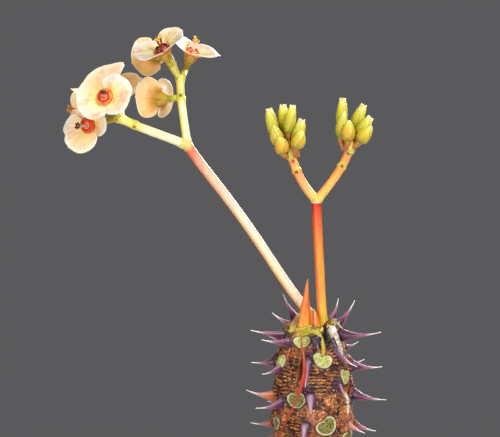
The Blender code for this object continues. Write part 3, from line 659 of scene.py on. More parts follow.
def pumice_and_bark():
    """Grit on the soil: pale pumice, grey gravel and brown bark chips, one colour for each grain."""
    material, tree = new_material("pumice_and_bark_grit")
    kinds = add_node(tree, RAMP, {"Fac": amount(tree, "grain")}, stops=(
        (0.0, "3B2618"), (0.45, "6B4A2E"), (0.6, "8C8478"), (1.0, "CFC4AE")))
    pitted = paint(tree, kinds, ((0.5, 2, 0.45, 0.6), "4A3A2C", "MULTIPLY"))
    return finish_skin(material, paint(tree, kinds, (0.45, pitted)), ((speckle(tree, 0.6, 3), 0.2),), 0.9)


def corky_bark(settings):
    """Corky bark: tan grains over dark crevices, green leaf scars with pale rims, mauve round the spines, and
    near-black painted shade in the cracks, the grooves round the scars and the pit.
    """
    material, tree = new_material("corky_bark")
    place = add_node(tree, "ShaderNodeTexCoord", out="Object")
    inputs = {"Vector": place, "Scale": 1.0 / settings.grain, "Detail": 2.0, "Roughness": 0.6}
    grain = add_node(tree, "ShaderNodeTexVoronoi", inputs, "Distance", normalize=True)
    cork = add_node(tree, RAMP, {"Fac": grain}, stops=(
        (0.1, settings.knob_top), (0.24, settings.knob), (0.4, settings.bark), (0.58, settings.crevice)))
    lumps = add_node(tree, RAMP, {"Fac": amount(tree, "knob")}, stops=(
        (0.2, "4A3428"), (0.5, "B8AA9C"), (0.85, "FFF2DE")))
    green_cast = ((7, 4, 0.45, 0.65), settings.moss, "SOFT_LIGHT")
    dark_patches = ((4.5, 4, 0.45, 0.57), "74463C", "MULTIPLY")
    specks = ((0.8, 2, 0.6, 0.7), settings.knob_top)
    mauve = add_node(tree, RAMP, {"Fac": speckle(tree, 1.2, 3)}, stops=(
        (0.3, "34152A"), (0.7, settings.mauve)))
    freckles = ((0.8, 4, 0.4, 0.62), "4E4A10", "SOFT_LIGHT")
    flesh = paint(tree, settings.scar, ("pale", settings.scar_pale), freckles)
    skin = (("mauve", mauve), ("young", settings.young), ("dark", "120604"))
    scars = (("scar", flesh), ("rim", settings.scar_rim))
    colour = paint(tree, cork, (0.7, lumps, "OVERLAY"), green_cast, dark_patches, specks, *skin, *scars)
    bark_only = add_node(tree, "ShaderNodeMath", {0: grain, 1: amount(tree, "bark")}, operation="MULTIPLY")
    return finish_skin(material, colour, ((bark_only, -0.5), (speckle(tree, 0.8, 4), 0.25)), 0.6)


def horny_spine(settings):
    """Hard glossy spine: mauve-black at its foot, rose along its length and bone white at its point, with a
    painted highlight along its upper and lower edges.
    """
    material, tree = new_material("horny_spine")
    cool = add_node(tree, RAMP, {"Fac": amount(tree, "along")}, stops=(
        (0.16, settings.foot), (0.44, settings.middle), (0.68, "A0627E"), (0.84, settings.point)))
    warm = add_node(tree, RAMP, {"Fac": amount(tree, "along")}, stops=(
        (0.08, "9A5020"), (0.36, settings.warm), (0.66, "C49A88"), (0.85, "EFE4DC")))
    bare = paint(tree, cool, ("warm", warm))
    bloomed = paint(tree, bare, ((1.5, 4, 0.46, 0.7, 0.6), settings.bloom))
    # painted highlight: a pale colour along each spine's upper and lower edges; on the buds the same mark is
    # their real pale bract edges
    colour = paint(tree, bare, (0.26, bloomed), ("edge", "D9B8C6"))
    return finish_skin(material, colour, ((speckle(tree, 0.6, 3, 0.4), 0.08),), 0.36)


def stalk_skin(name, settings):
    """Smooth fleshy stalk: colours change along it, painted light on one side and painted shade on the other,
    and dark scars show where bracts fell.
    """
    material, tree = new_material(name)
    along = {"Fac": amount(tree, "along")}
    lit, shaded = (add_node(tree, RAMP, along, stops=stops) for stops in STALK_COLOURS[name])
    streaks = ((1.6, 4, 0.4, 0.66, 0.18), "F3D7A6", "SOFT_LIGHT")
    marks = (("collar", settings.collar), ("spot", settings.bract_scar))
    # painted shade: the side mark mixes in the shaded colours on one side of the stalk, and the lit colours
    # are painted light
    colour = paint(tree, lit, ("side", shaded), streaks, *marks)
    return finish_skin(material, colour, ((speckle(tree, 0.9, 3, 0.3), 0.1),), 0.42, Subsurface_Weight=0.08,
                       Subsurface_Scale=FLESH_DEPTH)


def cup_skin(settings):
    """Fleshy cup: yellow-green with orange-brown ribs, and a red spot where its bract fell."""
    material, tree = new_material("fleshy_cup")
    flesh = add_node(tree, RAMP, {"Fac": amount(tree, "along")}, stops=(
        (0.0, settings.pedicel), (0.45, settings.cup), (0.8, "C9A23C"), (1.0, "E8BC6A")))
    streaks = ((1.1, 4, 0.42, 0.66), "8A8A2A", "SOFT_LIGHT")
    colour = paint(tree, flesh, ("rib", settings.rib), streaks, ("spot", "B3261A"))
    return finish_skin(material, colour, ((speckle(tree, 0.8, 3), 0.1),), 0.42)


def petal_skin(settings):
    """Petal-like bract: waxy and thin, cream inside with a yellow throat, peach outside, fanned veins, and a
    pink blush that is also painted shade where a second petal runs on behind the first.
    """
    material, tree = new_material("waxy_bract")
    cream = add_node(tree, RAMP, {"Fac": amount(tree, "out")}, stops=(
        (0.1, settings.throat), (0.38, "F6EAC0"), (0.7, settings.inside), (1.0, "F8ECE0")))
    pink = add_node(tree, RAMP, {"Fac": amount(tree, "out")}, stops=(
        (0.1, "E8C470"), (0.42, "E8BC88"), (0.8, settings.blush), (1.0, "F8D8C6")))
    inner = paint(tree, cream, ("blush", pink))
    peach = add_node(tree, RAMP, {"Fac": amount(tree, "out")}, stops=(
        (0.02, "9C8C2C"), (0.16, "B88A34"), (0.34, "E6B86C"), (0.55, settings.outside), (0.93, "F6CCA0"),
        (1.0, "F6E2CC")))
    ribs = add_node(tree, RAMP, {"Fac": amount(tree, "vein")}, stops=((0.1, "C98A30"), (0.6, "7A5A1C")))
    outer = paint(tree, peach, ("funnel", ribs))
    veins = amount(tree, "vein")
    tint = ((4.5, 3, 0.5, 0.7), "FBDCCB", "MULTIPLY")
    colour = paint(tree, outer, ("upper", inner), tint, (veins, "F8E8D0", "MULTIPLY"))
    bumps = ((veins, 0.12), (speckle(tree, 0.9, 3), 0.05))
    return finish_skin(material, colour, bumps, 0.4, Subsurface_Weight=0.75, Subsurface_Scale=BRACT_DEPTH,
                       Subsurface_Radius=(1.0, 0.7, 0.45))


def gland_skin(settings):
    """Wet nectar glands: gold, red or maroon, with cream fringes, and glossy."""
    material, tree = new_material("nectar_gland")
    tone = add_node(tree, RAMP, {"Fac": amount(tree, "tone")}, stops=(
        (0.0, settings.gold), (0.3, "E0531B"), (0.5, settings.red), (1.0, "4A0E14")))
    dots = ((0.5, 2, 0.55, 0.66), "FF9A5A", "SOFT_LIGHT")
    colour = paint(tree, tone, dots, ("fringe", "F4DF9C"))
    return finish_skin(material, colour, ((speckle(tree, 0.9, 2), 0.4),), 0.22, Coat_Weight=0.3)


def stamen_skin():
    """Stamens: white to maroon threads with yellow to black pollen sacs, dull and grainy."""
    material, tree = new_material("stamen")
    thread = add_node(tree, RAMP, {"Fac": amount(tree, "thread")}, stops=(
        (0.0, "F6EAD6"), (0.5, "D2574A"), (1.0, "7A1420")))
    sac = add_node(tree, RAMP, {"Fac": amount(tree, "sac")}, stops=(
        (0.0, "F2D660"), (0.35, "E09A2C"), (0.6, "A8301C"), (1.0, "1C0F12")))
    grains = ((0.3, 2, 0.45, 0.6), "E6D2B0", "SOFT_LIGHT")
    colour = paint(tree, thread, ("anther", sac), grains)
    return finish_skin(material, colour, ((speckle(tree, 0.25, 2), 0.06),), 0.5)


def bud_skin(settings):
    """Closed flower bud: waxy yellow-green, gold on the sunny side, cream along its bracts' edges."""
    material, tree = new_material("waxy_bud")
    green = add_node(tree, RAMP, {"Fac": amount(tree, "along")}, stops=(
        (0.0, "8A8E20"), (0.3, settings.green), (0.7, "D2C84C"), (0.95, "E8E08A")))
    gold = add_node(tree, RAMP, {"Fac": amount(tree, "along")}, stops=(
        (0.0, "A08A20"), (0.35, settings.gold), (0.8, "DEC444"), (0.97, "E8E08A")))
    streaks = ((1.3, 4, 0.4, 0.66, 0.35), "B9C255", "SOFT_LIGHT")
    marks = (("stalk", settings.stalk), ("shade", "4E4A14"), ("edge", settings.tip))
    colour = paint(tree, green, ("sunny", gold), streaks, *marks)
    return finish_skin(material, colour, ((speckle(tree, 0.9, 3), 0.1),), 0.45, Subsurface_Weight=0.08,
                       Subsurface_Scale=FLESH_DEPTH)


def leaf_bud_skin(settings):
    """Young folded leaf: smooth orange, yellow at its foot, with a dark red crease, a painted highlight down
    its lit face and painted shade in a band on its far side.
    """
    material, tree = new_material("young_leaf")
    flesh = add_node(tree, RAMP, {"Fac": amount(tree, "along")}, stops=(
        (0.0, "D8B83A"), (0.2, "E59A30"), (0.55, settings.leaf_bud), (1.0, "C88450")))
    streaks = ((0.9, 4, 0.42, 0.64, 0.12), "C26A30", "SOFT_LIGHT")
    colour = paint(tree, flesh, ("lit", "EDB27A"), ("crease", settings.crease), streaks)
    return finish_skin(material, colour, ((speckle(tree, 0.7, 3, 0.2), 0.1),), 0.4)


def leaf_base_skin(settings):
    """Fresh leaf bases round the tip: yellow-green, cream where they are new, brown where they have dried."""
    material, tree = new_material("leaf_base")
    tone = add_node(tree, RAMP, {"Fac": amount(tree, "tone")}, stops=(
        (0.0, settings.leaf_base), (0.35, "D0B84A"), (0.5, "8A5E5A"), (0.62, "B09A90"), (0.75, "F2F0E6"),
        (0.9, "96682C"), (1.0, "7A4A1A")))
    streaks = ((0.8, 4, 0.4, 0.64), "9A8A30", "SOFT_LIGHT")
    dry_spots = ((0.9, 4, 0.56, 0.68), "6A3A22")
    return finish_skin(material, paint(tree, tone, streaks, dry_spots), ((speckle(tree, 0.6, 3), 0.15),), 0.5)


def dried_stalk(settings):
    """Dead flower stalk: shrunken, red and shiny, browner where it is oldest."""
    material, tree = new_material("dried_stalk")
    tone = add_node(tree, RAMP, {"Fac": amount(tree, "along")}, stops=(
        (0.0, "6A2012"), (0.3, "A83418"), (0.66, settings.strand), (0.9, "A8562A"), (1.0, "A88A3A")))
    streaks = ((0.7, 3, 0.45, 0.65, 0.2), "E07A5A", "SOFT_LIGHT")
    return finish_skin(material, paint(tree, tone, streaks), ((speckle(tree, 0.5, 3, 0.3), 0.1),), 0.35)


# ---------------------------------------------------------------- pot and soil


def pot_skin():
    """The pot's wall: its rounded outline turned round the axis, and swollen outside by a slow noise."""
    line = eased(POT_OUTLINE, POT_ROWS, POT_ROUNDING)
    skin = round_axis(line[:, :1], angles(POT_SIDES), line[:, 1:])
    radius = np.maximum(np.hypot(skin[..., 0], skin[..., 1]), 1e-6)
    wave = POT_WAVE * rough(skin, 22.0, seed=5, octaves=2) * fade(radius, 38.0, 44.0)
    skin[..., :2] *= (1.0 + wave / radius)[..., None]
    return closed_skin(skin[1:-1])


def cut_drains(piece):
    """Cut the drain holes through the pot's base with three plain rods."""
    rods = []
    for angle in DRAIN_ANGLES:
        middle = round_axis(DRAIN_CIRCLE_RADIUS, math.radians(angle), 0.0)
        path = middle + np.array([(0.0, 0.0, height) for height in DRAIN_ROD_HEIGHTS])
        rod = add_object("drain_rod", *closed_skin(swept(path, DRAIN_RADIUS, 40))[:3])
        cut = piece.modifiers.new("Drain", "BOOLEAN")
        cut.operation = "DIFFERENCE"
        cut.solver = "EXACT"
        cut.object = rod
        rods.append(rod)
    graph = bpy.context.evaluated_depsgraph_get()
    drilled = bpy.data.meshes.new_from_object(piece.evaluated_get(graph))
    piece.modifiers.clear()
    piece.data = drilled
    drilled.shade_smooth()
    drilled.set_sharp_from_angle(angle=math.radians(EDGE_ANGLE))
    for rod in rods:
        bpy.data.objects.remove(rod, do_unlink=True)


def soil_height(radius):
    """Height of the soil at a distance from the stem's axis: it falls from the crown to the pot's wall."""
    fall = 1.0 - fade(radius, 14.0, SOIL_EDGE_RADIUS)
    return SOIL_EDGE_HEIGHT + (SOIL_CROWN_HEIGHT - SOIL_EDGE_HEIGHT) * fall


def soil_skin():
    """The soil's crust: rings of points pushed up and down by two sizes of noise, with a flat underside."""
    top = np.linspace(0.4, SOIL_EDGE_RADIUS, SOIL_RINGS)
    rings = np.concatenate((top, (SOIL_EDGE_RADIUS - 0.4, 0.4)))[:, None]
    skin = round_axis(rings, angles(SOIL_SIDES), soil_height(rings))
    crumbs = 0.9 * rough(skin, 7.0, seed=11) + 0.55 * np.abs(rough(skin, 2.2, seed=12, octaves=2))
    skin[..., 2] += crumbs * fade(rings, 12.0, 15.0)
    skin[-2:, :, 2] = SOIL_EDGE_HEIGHT - SOIL_DEPTH
    return closed_skin(skin)


def grit_skin(count, size):
    """Loose grains on the soil: one lumpy ball, repeated with a size, turn and colour for each grain."""
    draw = np.random.default_rng(23)
    ball = bead((0, 0, 0), (1, 1, 0.72), rows=5, columns=7)
    radius = np.sqrt(draw.uniform(GRIT_REACH[0] ** 2, GRIT_REACH[1] ** 2, count))
    angle = draw.uniform(0.0, TURN, count)
    scale = size * draw.uniform(0.35, 1.0, (count, 1)) * draw.uniform(0.7, 1.3, (count, 3))
    centre = round_axis(radius, angle, soil_height(radius) + GRIT_RISE)
    spin = draw.uniform(0.0, TURN, count)[:, None, None]
    grain = draw.uniform(0.0, 1.0, count)
    shapes = ball[None] * scale[:, None, None]
    shapes *= (1.0 + 0.22 * draw.uniform(-1, 1, (count, *ball.shape[:2])))[..., None]
    x, y = shapes[..., 0].copy(), shapes[..., 1].copy()
    shapes[..., 0] = x * np.cos(spin) - y * np.sin(spin)
    shapes[..., 1] = x * np.sin(spin) + y * np.cos(spin)
    shapes += centre[:, None, None]
    return [closed_skin(shape, grain=value) for shape, value in zip(shapes, grain)]


# ---------------------------------------------------------------- stem and spines


def leaf_scars():
    """Every leaf scar as (column, row, angle, height)."""
    for column in range(COLUMN_COUNT):
        top = FIRST_SCAR_HEIGHT - (SCAR_STEP * column) % SCAR_PITCH
        if top + SCAR_PITCH <= HIGHEST_SCAR:
            top += SCAR_PITCH
        row = 0
        while top - row * SCAR_PITCH >= LOWEST_SCAR:
            yield column, row, FIRST_COLUMN_ANGLE + column * 360 / COLUMN_COUNT, top - row * SCAR_PITCH
            row += 1


def stem_radius(height):
    """The stem's bare radius at a height."""
    radii, heights = zip(*STEM_OUTLINE[:-2])
    return float(np.interp(height, heights, radii))


def on_stem(angle, height, rise):
    """The point at an angle and height, standing off the stem's bare surface by rise."""
    return round_axis(stem_radius(height) + rise, math.radians(angle), height)


def spine_roots():
    """Every spine: root angle, heading angle, height, upward tilt, length, warmth, run of its colours."""
    for column, row, angle, scar_height in leaf_scars():
        for side in (-1, 1):
            if (column, row, side) in LOST_SPINES:
                continue
            height = scar_height + side * SPINE_TILT
            rise = float(np.interp(height, *SPINE_TILTS))
            change = SPINE_LENGTH_CHANGE * math.sin(2.3 * column + 1.7 * row + side)
            usual = (0, 0, rise, SPINE_LENGTH + change)
            turned, raised, tilt, length = ODD_SPINES.get((column, row, side), usual)
            root = angle + side * SPINE_OFFSET_ANGLE + turned
            warm = WARM_SPINES.get((column, row, side), 0.6 * float(fade(height, 152.0, 140.0)))
            # painted shade: a short run keeps a shaded spine near its dark foot colour
            run = SPINES_IN_PAINTED_SHADE.get((column, row, side), 1.0)
            yield root, root + side * SPINE_SPLAY_ANGLE, height + raised, tilt, length, warm, run
    for angle, height, tilt, length in TIP_SPINES:
        yield angle, angle, height, tilt, length, 0.0, 1.0


def heart(across, up, width, height):
    """Distance from a leaf scar's middle over that of its outline: an oval notched at its top."""
    turn = np.arctan2(across / width, up / height)
    away = np.abs(turn)
    outline = 1.0 - 0.34 * bell(turn, 0.0, 0.42) + 0.06 * bell(away, 1.0, 0.5) - 0.05 * bell(away, 2.2, 0.4)
    return np.hypot(across / width, up / height) / outline


def from_place(grid, angle, level):
    """Distances in millimetres across the stem and up it, from a place to each point of the stem's grid."""
    turn, radius, length, line = grid
    across = ((turn - math.radians(angle) + math.pi) % TURN - math.pi) * np.maximum(radius, LEAST_REACH)
    return across, length - np.interp(level, line[:, 1], length[:, 0])


def scar_marks(grid, wobble, settings):
    """Leaf scars over the stem's grid: the swelling under them, their faces, rims, grooves and paleness."""
    swelling, scar, rim, groove, pale = (np.zeros(wobble.shape) for _ in range(5))
    half_width, half_height = settings.scar_width / MM / 2, settings.scar_height / MM / 2
    for column, row, angle, level in leaf_scars():
        across, up = from_place(grid, angle, level)
        swelling += 1.2 * np.exp(-(across / 4.6) ** 2 - (up / 7.5) ** 2)
        usual_lean = 0.35 * math.sin(1.9 * column + 2.3 * row + 1.2)
        usual_size = 0.95 + 0.05 * math.sin(3.1 * column + 5 * row)
        usual = (0, 0, usual_lean, usual_size)
        turned, raised, lean, size = ODD_SCARS.get((column, row), usual)
        across = across - math.radians(turned) * np.maximum(grid[1], LEAST_REACH)
        up = up - raised
        tilted_across = across * math.cos(lean) + up * math.sin(lean)
        tilted_up = up * math.cos(lean) - across * math.sin(lean)
        slim = SLIM_SCARS.get((column, row), 1.0)
        place = heart(tilted_across, tilted_up, half_width * size * slim, half_height * size) + 0.07 * wobble
        near = (np.abs(across) < 8) & (np.abs(up) < 8)
        scar = np.maximum(scar, fade(place, 1.0, 0.84) * near)
        rim = np.maximum(rim, bell(place, 0.95, 0.07) * near)
        groove = np.maximum(groove, bell(place, 1.13, 0.09) * near)
        pale = np.maximum(pale, near * (0.25 + 0.75 * float(fade(level + raised, 158.0, 170.0))))
    return swelling, scar, rim, groove, pale


def flare_marks(grid, settings):
    """Swelling round the root of each spine, and the mauve stain there, faint where a spine is warm."""
    flare, mauve = (np.zeros((STEM_ROWS, STEM_COLUMNS)) for _ in range(2))
    for angle, _, level, _, _, warm, _ in spine_roots():
        across, up = from_place(grid, angle, level)
        flare += settings.flare / MM * np.exp(-(across / 1.9) ** 2 - (up / 3.4) ** 2)
        stain = (1.0 - 0.8 * warm) * np.exp(-(across / 2.1) ** 2 - (up / 3.4) ** 2)
        mauve = np.maximum(mauve, stain * fade(level, 138.0, 150.0))
    return flare, np.clip(mauve, 0.0, 1.0)


def stem_skin(settings):
    """The stem: a turned outline pushed along its normals.

    Each leaf scar adds a low swelling, a sunken face, a raised rim and a groove round it; each spine adds a
    flare at its root; the bark between adds knobs from fractal noise and ladders of cracks, a sine of height
    gated by noise.
    """
    line = eased(STEM_OUTLINE, STEM_ROWS, 1.6)
    steps = np.linalg.norm(np.diff(line, axis=0), axis=1)
    length = np.concatenate(([0.0], np.cumsum(steps)))[:, None]
    slope = unit(np.gradient(line, axis=0))
    turn = np.linspace(-math.pi, math.pi, STEM_COLUMNS, endpoint=False)[None]
    radius, height = line[:, :1], line[:, 1:]
    skin = round_axis(radius, turn, height)
    wobble = rough(skin, 3.2, seed=31)
    grid = (turn, radius, length, line)
    swelling, scar, rim, groove, pale = scar_marks(grid, wobble, settings)
    flare, mauve = flare_marks(grid, settings)
    knobs = 0.8 * rough(skin, 1.9, seed=41) + 0.6 * rough(skin, 0.8, seed=43, octaves=2)
    ladder = np.sin(TURN * (length + 0.8 * wobble) / CRACK_SPACING)
    gate = fade(rough(skin * np.array((1, 1, 0.5)), 6.0, seed=47), -0.2, 0.2) * fade(swelling, 1.05, 0.5)
    pit_angle, pit_height, pit_width, pit_reach = PIT
    pit_place = math.radians(pit_angle) * stem_radius(pit_height)
    pit = bell(turn * radius, pit_place, pit_width) * bell(height, pit_height, pit_reach)
    free = (1.0 - np.clip(scar + groove, 0.0, 1.0)) * (1.0 - np.clip(1.5 * pit, 0.0, 1.0))
    crack = fade(ladder, 0.0, 0.75) * gate * free
    young = fade(height, 180.0, 187.0) * (1.0 - scar)
    bark_push = free * (0.34 * knobs - settings.crack_depth / MM * crack) * (1.0 - 0.7 * young)
    push = swelling + flare + bark_push
    push += 0.42 * rim - 0.18 * scar - 0.4 * groove * (1.0 - scar) - 2.2 * pit
    skin[..., 0] += push * slope[:, 1:] * np.sin(turn)
    skin[..., 1] -= push * slope[:, 1:] * np.cos(turn)
    skin[..., 2] -= push * slope[:, :1]
    # painted shade: the dark mark is near-black in the cracks, the grooves round the scars and the pit
    dark = np.clip(1.1 * crack + 0.95 * groove * (1.0 - scar) * (1.0 - rim) + 2.4 * pit, 0.0, 1.0)
    return closed_skin(skin, knob=0.5 + 0.5 * knobs, scar=scar, rim=rim * (1.0 - 0.4 * groove), pale=pale,
                       mauve=mauve * free, bark=free * (1.0 - 0.8 * mauve), dark=dark,
                       young=0.85 * young * (1.0 - mauve))


def spine_skin(number, root_angle, heading_angle, height, tilt, length, warm, run, settings):
    """A spine: a flat oval section carried from inside the stem to its point along a line that sags midway.

    Its half height and half thickness fall as powers of what is left of the length. A steep spine hangs down
    along the stem: it is rounder, starts in a narrow root, and bows out instead of sagging.
    """
    steep = float(fade(tilt, -40.0, -58.0))
    root = on_stem(root_angle, height, SPINE_ROOT_RISE)
    turn, lift = math.radians(heading_angle), math.radians(tilt)
    heading = np.array((math.sin(turn) * math.cos(lift), -math.cos(turn) * math.cos(lift), math.sin(lift)))
    flat = np.array((math.cos(turn), math.sin(turn), 0.0))
    above = np.cross(flat, heading)
    above = above if above[2] >= 0 else -above
    share = shares(24)
    left = 1.0 - share
    path = root + heading * (share * (length + SPINE_ROOT_DEPTH) - SPINE_ROOT_DEPTH)
    sag = settings.sag / MM * (1.0 + 0.4 * math.sin(number)) * (1.0 - steep)
    bow = STEEP_SPINE_BOW * steep * fade(share, -0.05, 0.42)
    path = path + above * (bow - sag * np.sin(math.pi * share))
    shoulder = 1.0 - steep * (1.0 - fade(share, 0.08, 0.34)) * 0.8
    tall = (settings.root_height / MM / 2 * left**2.1 + 0.16) * shoulder
    half_root = settings.root_thickness / MM / 2 * (1.0 + 0.85 * steep)
    thick = (half_root * left ** (1.5 - 0.5 * steep) + 0.14) * shoulder
    around = angles(14)
    section = (tall * np.sin(around))[..., None] * above + (thick * np.cos(around))[..., None] * flat
    skin = path[:, None] + section
    # painted highlight along the upper and lower edges of the section, kept off spines in painted shade
    edge = 0.55 * bell(np.abs(np.sin(around)), 1.0, 0.18) * fade(share, 0.12, 0.5) * run
    return closed_skin(skin, along=share * (1.0 - 0.25 * steep) * run, warm=warm, edge=edge)


# ---------------------------------------------------------------- stalks


def stalk_skin_rows(path, radius, swellings, spots, shaded_side_angle):
    """A stalk: a round section carried along its path, swollen at nodes and faintly uneven.

    Swellings are (share of the length, height, width); spots are (point, radius) of dark bract scars.
    """
    share = shares(len(path))
    turn = angles(STALK_COLUMNS)
    size = radius + sum(rise * bell(share, place, width) for place, rise, width in swellings)
    size = size + STALK_PITS * rough(places(40 * share, np.cos(turn), np.sin(turn)), 1.6, seed=61)
    skin = swept(path, size, STALK_COLUMNS)
    spot = np.zeros(skin.shape[:2])
    for point, reach in spots:
        spot = np.maximum(spot, fade(np.linalg.norm(skin - np.array(point), axis=-1), reach, 0.45 * reach))
    collar = sum(bell(share, place, 0.6 * width) for place, _, width in swellings) + 0 * turn
    # painted shade: side is 1 on the stalk's shaded side and 0 on its lit side
    side = fade(np.cos(turn - math.radians(shaded_side_angle)), -0.35, 0.85)
    return closed_skin(skin, along=share, side=side, spot=spot, collar=np.clip(0.8 * collar, 0.0, 1.0))


def bract_scale_rows(top):
    """A small scale at a branch's end: a flattened section carried along a short curve."""
    line = top + eased(((0.0, -1.2, -2.6), (0.1, -2.3, -0.6), (0.0, -2.7, 2.2), (-0.4, -2.4, 4.6)), 18, 0.8)
    share = shares(18)
    skin = swept(line, 1.15 * (1.0 - share**2.2) + 0.1, 14, deep=0.4)
    return closed_skin(skin, along=1.0, side=0.0, spot=0.0, collar=0.9 - 0.4 * share)


# ---------------------------------------------------------------- flowers


def petal_rim(letter, number, fan, joined, beyond, reach, half_width, phase):
    """A bract's rim as x out and y across: a wide oval that tapers back, with ripples, a point and a notch.

    On its joined side the rim is read from a table of distances round the cup instead.
    """
    centre = 0.33 * reach
    point_place, point_length = PETAL_POINTS.get(letter, PLAIN_POINTS)[number - 1]
    notch_place, notch_depth = PETAL_NOTCHES.get((letter, number), (0.0, 0.0))
    turn = math.radians(RIM_FAN) * fan * (1.0 + 0.2 * beyond)
    taper = 1.0 - 0.2 * ((1.0 - np.cos(turn)) / 2) ** 2 * (1.0 - beyond)
    taper = taper * (1.0 + 0.32 * bell(fan * joined, 0.75, 0.5) * abs(joined))
    wave = 1.0 + 0.022 * np.sin(5.5 * fan + phase[0]) + 0.014 * np.sin(11.0 * fan + phase[1])
    point = point_length / (reach - centre) * bell(fan, point_place, 0.035)
    tip = 1.0 + point - notch_depth * bell(fan, notch_place, 0.09)
    x = centre + (reach - centre) * np.cos(turn) * wave * tip
    y = (half_width + 0.3) * np.sin(turn) * taper * wave * tip
    around = JOINED_RIM[0][-1] * fan * joined
    far = np.interp(around, *JOINED_RIM) * wave
    x = np.where(around > 0, far * np.cos(np.radians(around)), x)
    y = np.where(around > 0, far * np.sin(np.radians(around)) * joined, y)
    return x, y


def petal_skin_rows(letter, number, mouth, axes, settings):
    """A bract: rows fan out from an arc that clasps the cup to a wide oval rim, and rise by an eased sine.

    The rim ripples, and veins fan out as a cosine of the place across.
    """
    sign = 1.0 if number == 1 else -1.0
    size = PETAL_SIZES.get((letter, number), 1.0)
    local = (node_points(f"flower_{letter}_petal_{number}") - mouth) @ axes.T * np.array((sign, sign, 1.0))
    reach = size * local[:, 0].max()
    half_width = size * np.abs(local[:, 1]).max()
    lift = local[local[:, 0] > local[:, 0].max() - 0.8, 2].mean()
    phase = np.random.default_rng(7 * ord(letter) + number).uniform(0.0, TURN, 4)
    fan = np.linspace(-1.0, 1.0, 64)[None]
    out = shares(22)
    joined = sign * float(np.sign(axes[1][2])) * (letter in JOINED_ABOVE) * (number == 2)
    beyond = fade(fan * joined, 0.3, 1.0) * abs(joined)
    rim_x, rim_y = petal_rim(letter, number, fan, joined, beyond, reach, half_width, phase)
    foot_turn = math.radians(FOOT_FAN) * fan
    foot_x, foot_y = FOOT_RADIUS * np.cos(foot_turn), FOOT_RADIUS * np.sin(foot_turn)
    x = foot_x + (rim_x - foot_x) * out
    y = foot_y + (rim_y - foot_y) * out
    x = np.maximum(x, -0.5 + 0.45 * number - 12.0 * beyond)
    reached = np.clip((np.hypot(x, y) - FOOT_RADIUS) / (reach - FOOT_RADIUS), 0.0, 1.1)
    rise = np.sin(reached * 1.33) / math.sin(1.33)
    z = PETAL_FOOT + (lift - PETAL_FOOT) * rise + 0.25 * (number == 1)
    ripples = np.sin(4.2 * fan + phase[2]) + 0.5 * np.sin(9.0 * fan + phase[3])
    z = z + settings.ruffle / MM * out**2 * ripples
    z = z - 0.35 * out * bell(fan, 0.0, 0.05) - 0.9 * beyond * out
    veins = 0.5 + 0.5 * np.cos(26.0 * fan * math.pi / 2 + 2.2 * out * np.sign(fan)) * fade(out, 0.1, 0.3)
    midrib = 0.8 * bell(fan, 0.0, 0.02) * fade(out, 0.9, 0.5)
    veins = np.clip(veins**3 * 0.36 * fade(out, 1.0, 0.75) + midrib, 0, 1)
    thickness = settings.petal_thickness / MM * (1.0 - 0.55 * out**3)
    grid = places(sign * x, sign * y, z)
    blush = PETAL_BLUSH[letter] * (0.6 + 0.4 * rough(grid + phase[0], 6.0, seed=71))
    # painted shade: where the second petal runs on behind the first it gets the peach blush colour
    blush = np.clip(blush + 0.9 * fade(fan * joined, 0.0, 0.5) * abs(joined), 0.0, 1.0)
    funnel = FUNNELS.get(letter, 0.0) * fade(out, 0.62, 0.3)
    return sheet_skin(mouth + grid @ axes, thickness, out=out, vein=veins, blush=blush, funnel=funnel)


def cup_skin_rows(letter, mouth, axes):
    """A pedicel and its cup: a round section carried along a cubic curve, then up the cup's axis.

    The radius widens in an S from the pedicel to the mouth, with five ribs.
    """
    points = node_points(f"flower_{letter}_cup")
    far = np.linalg.norm(points - mouth, axis=1)
    start = points[far > far.max() - 0.9].mean(axis=0)
    foot = mouth - axes[2] * CUP_LENGTH
    gap = np.linalg.norm(foot - start)
    inward = unit(foot - start) * 1.2
    lead = bezier((start - inward, start + inward * 0.25 * gap, foot - axes[2] * 0.4 * gap, foot), 30)
    bowl = foot + axes[2] * np.linspace(0.0, CUP_LENGTH, 30)[1:, None]
    path = np.concatenate((lead, bowl))
    share = np.concatenate((np.linspace(0.0, 0.4, 30), np.linspace(0.4, 1.0, 30)[1:]))[:, None]
    radius = 1.15 + 0.25 * bell(share, 0.38, 0.05) + 1.55 * fade(share, 0.42, 0.85)
    radius = radius + 0.35 * fade(share, 0.85, 1.0)
    turn = angles(40)
    ribs = np.cos(5 * turn + ord(letter))
    radius = radius * (1.0 + 0.035 * ribs * fade(share, 0.42, 0.7)) * (1.0 - 0.03 * bell(share, 1.0, 0.02))
    skin = swept(path, radius, 40)
    rib = fade(ribs, 0.3, 1.0) * fade(share, 0.5, 0.75) * 0.75
    spot = bell(share, 0.36, 0.06) * bell((turn - 2.0) % TURN, 0.6, 0.5)
    return closed_skin(skin, along=share + 0 * turn, rib=rib, spot=spot)


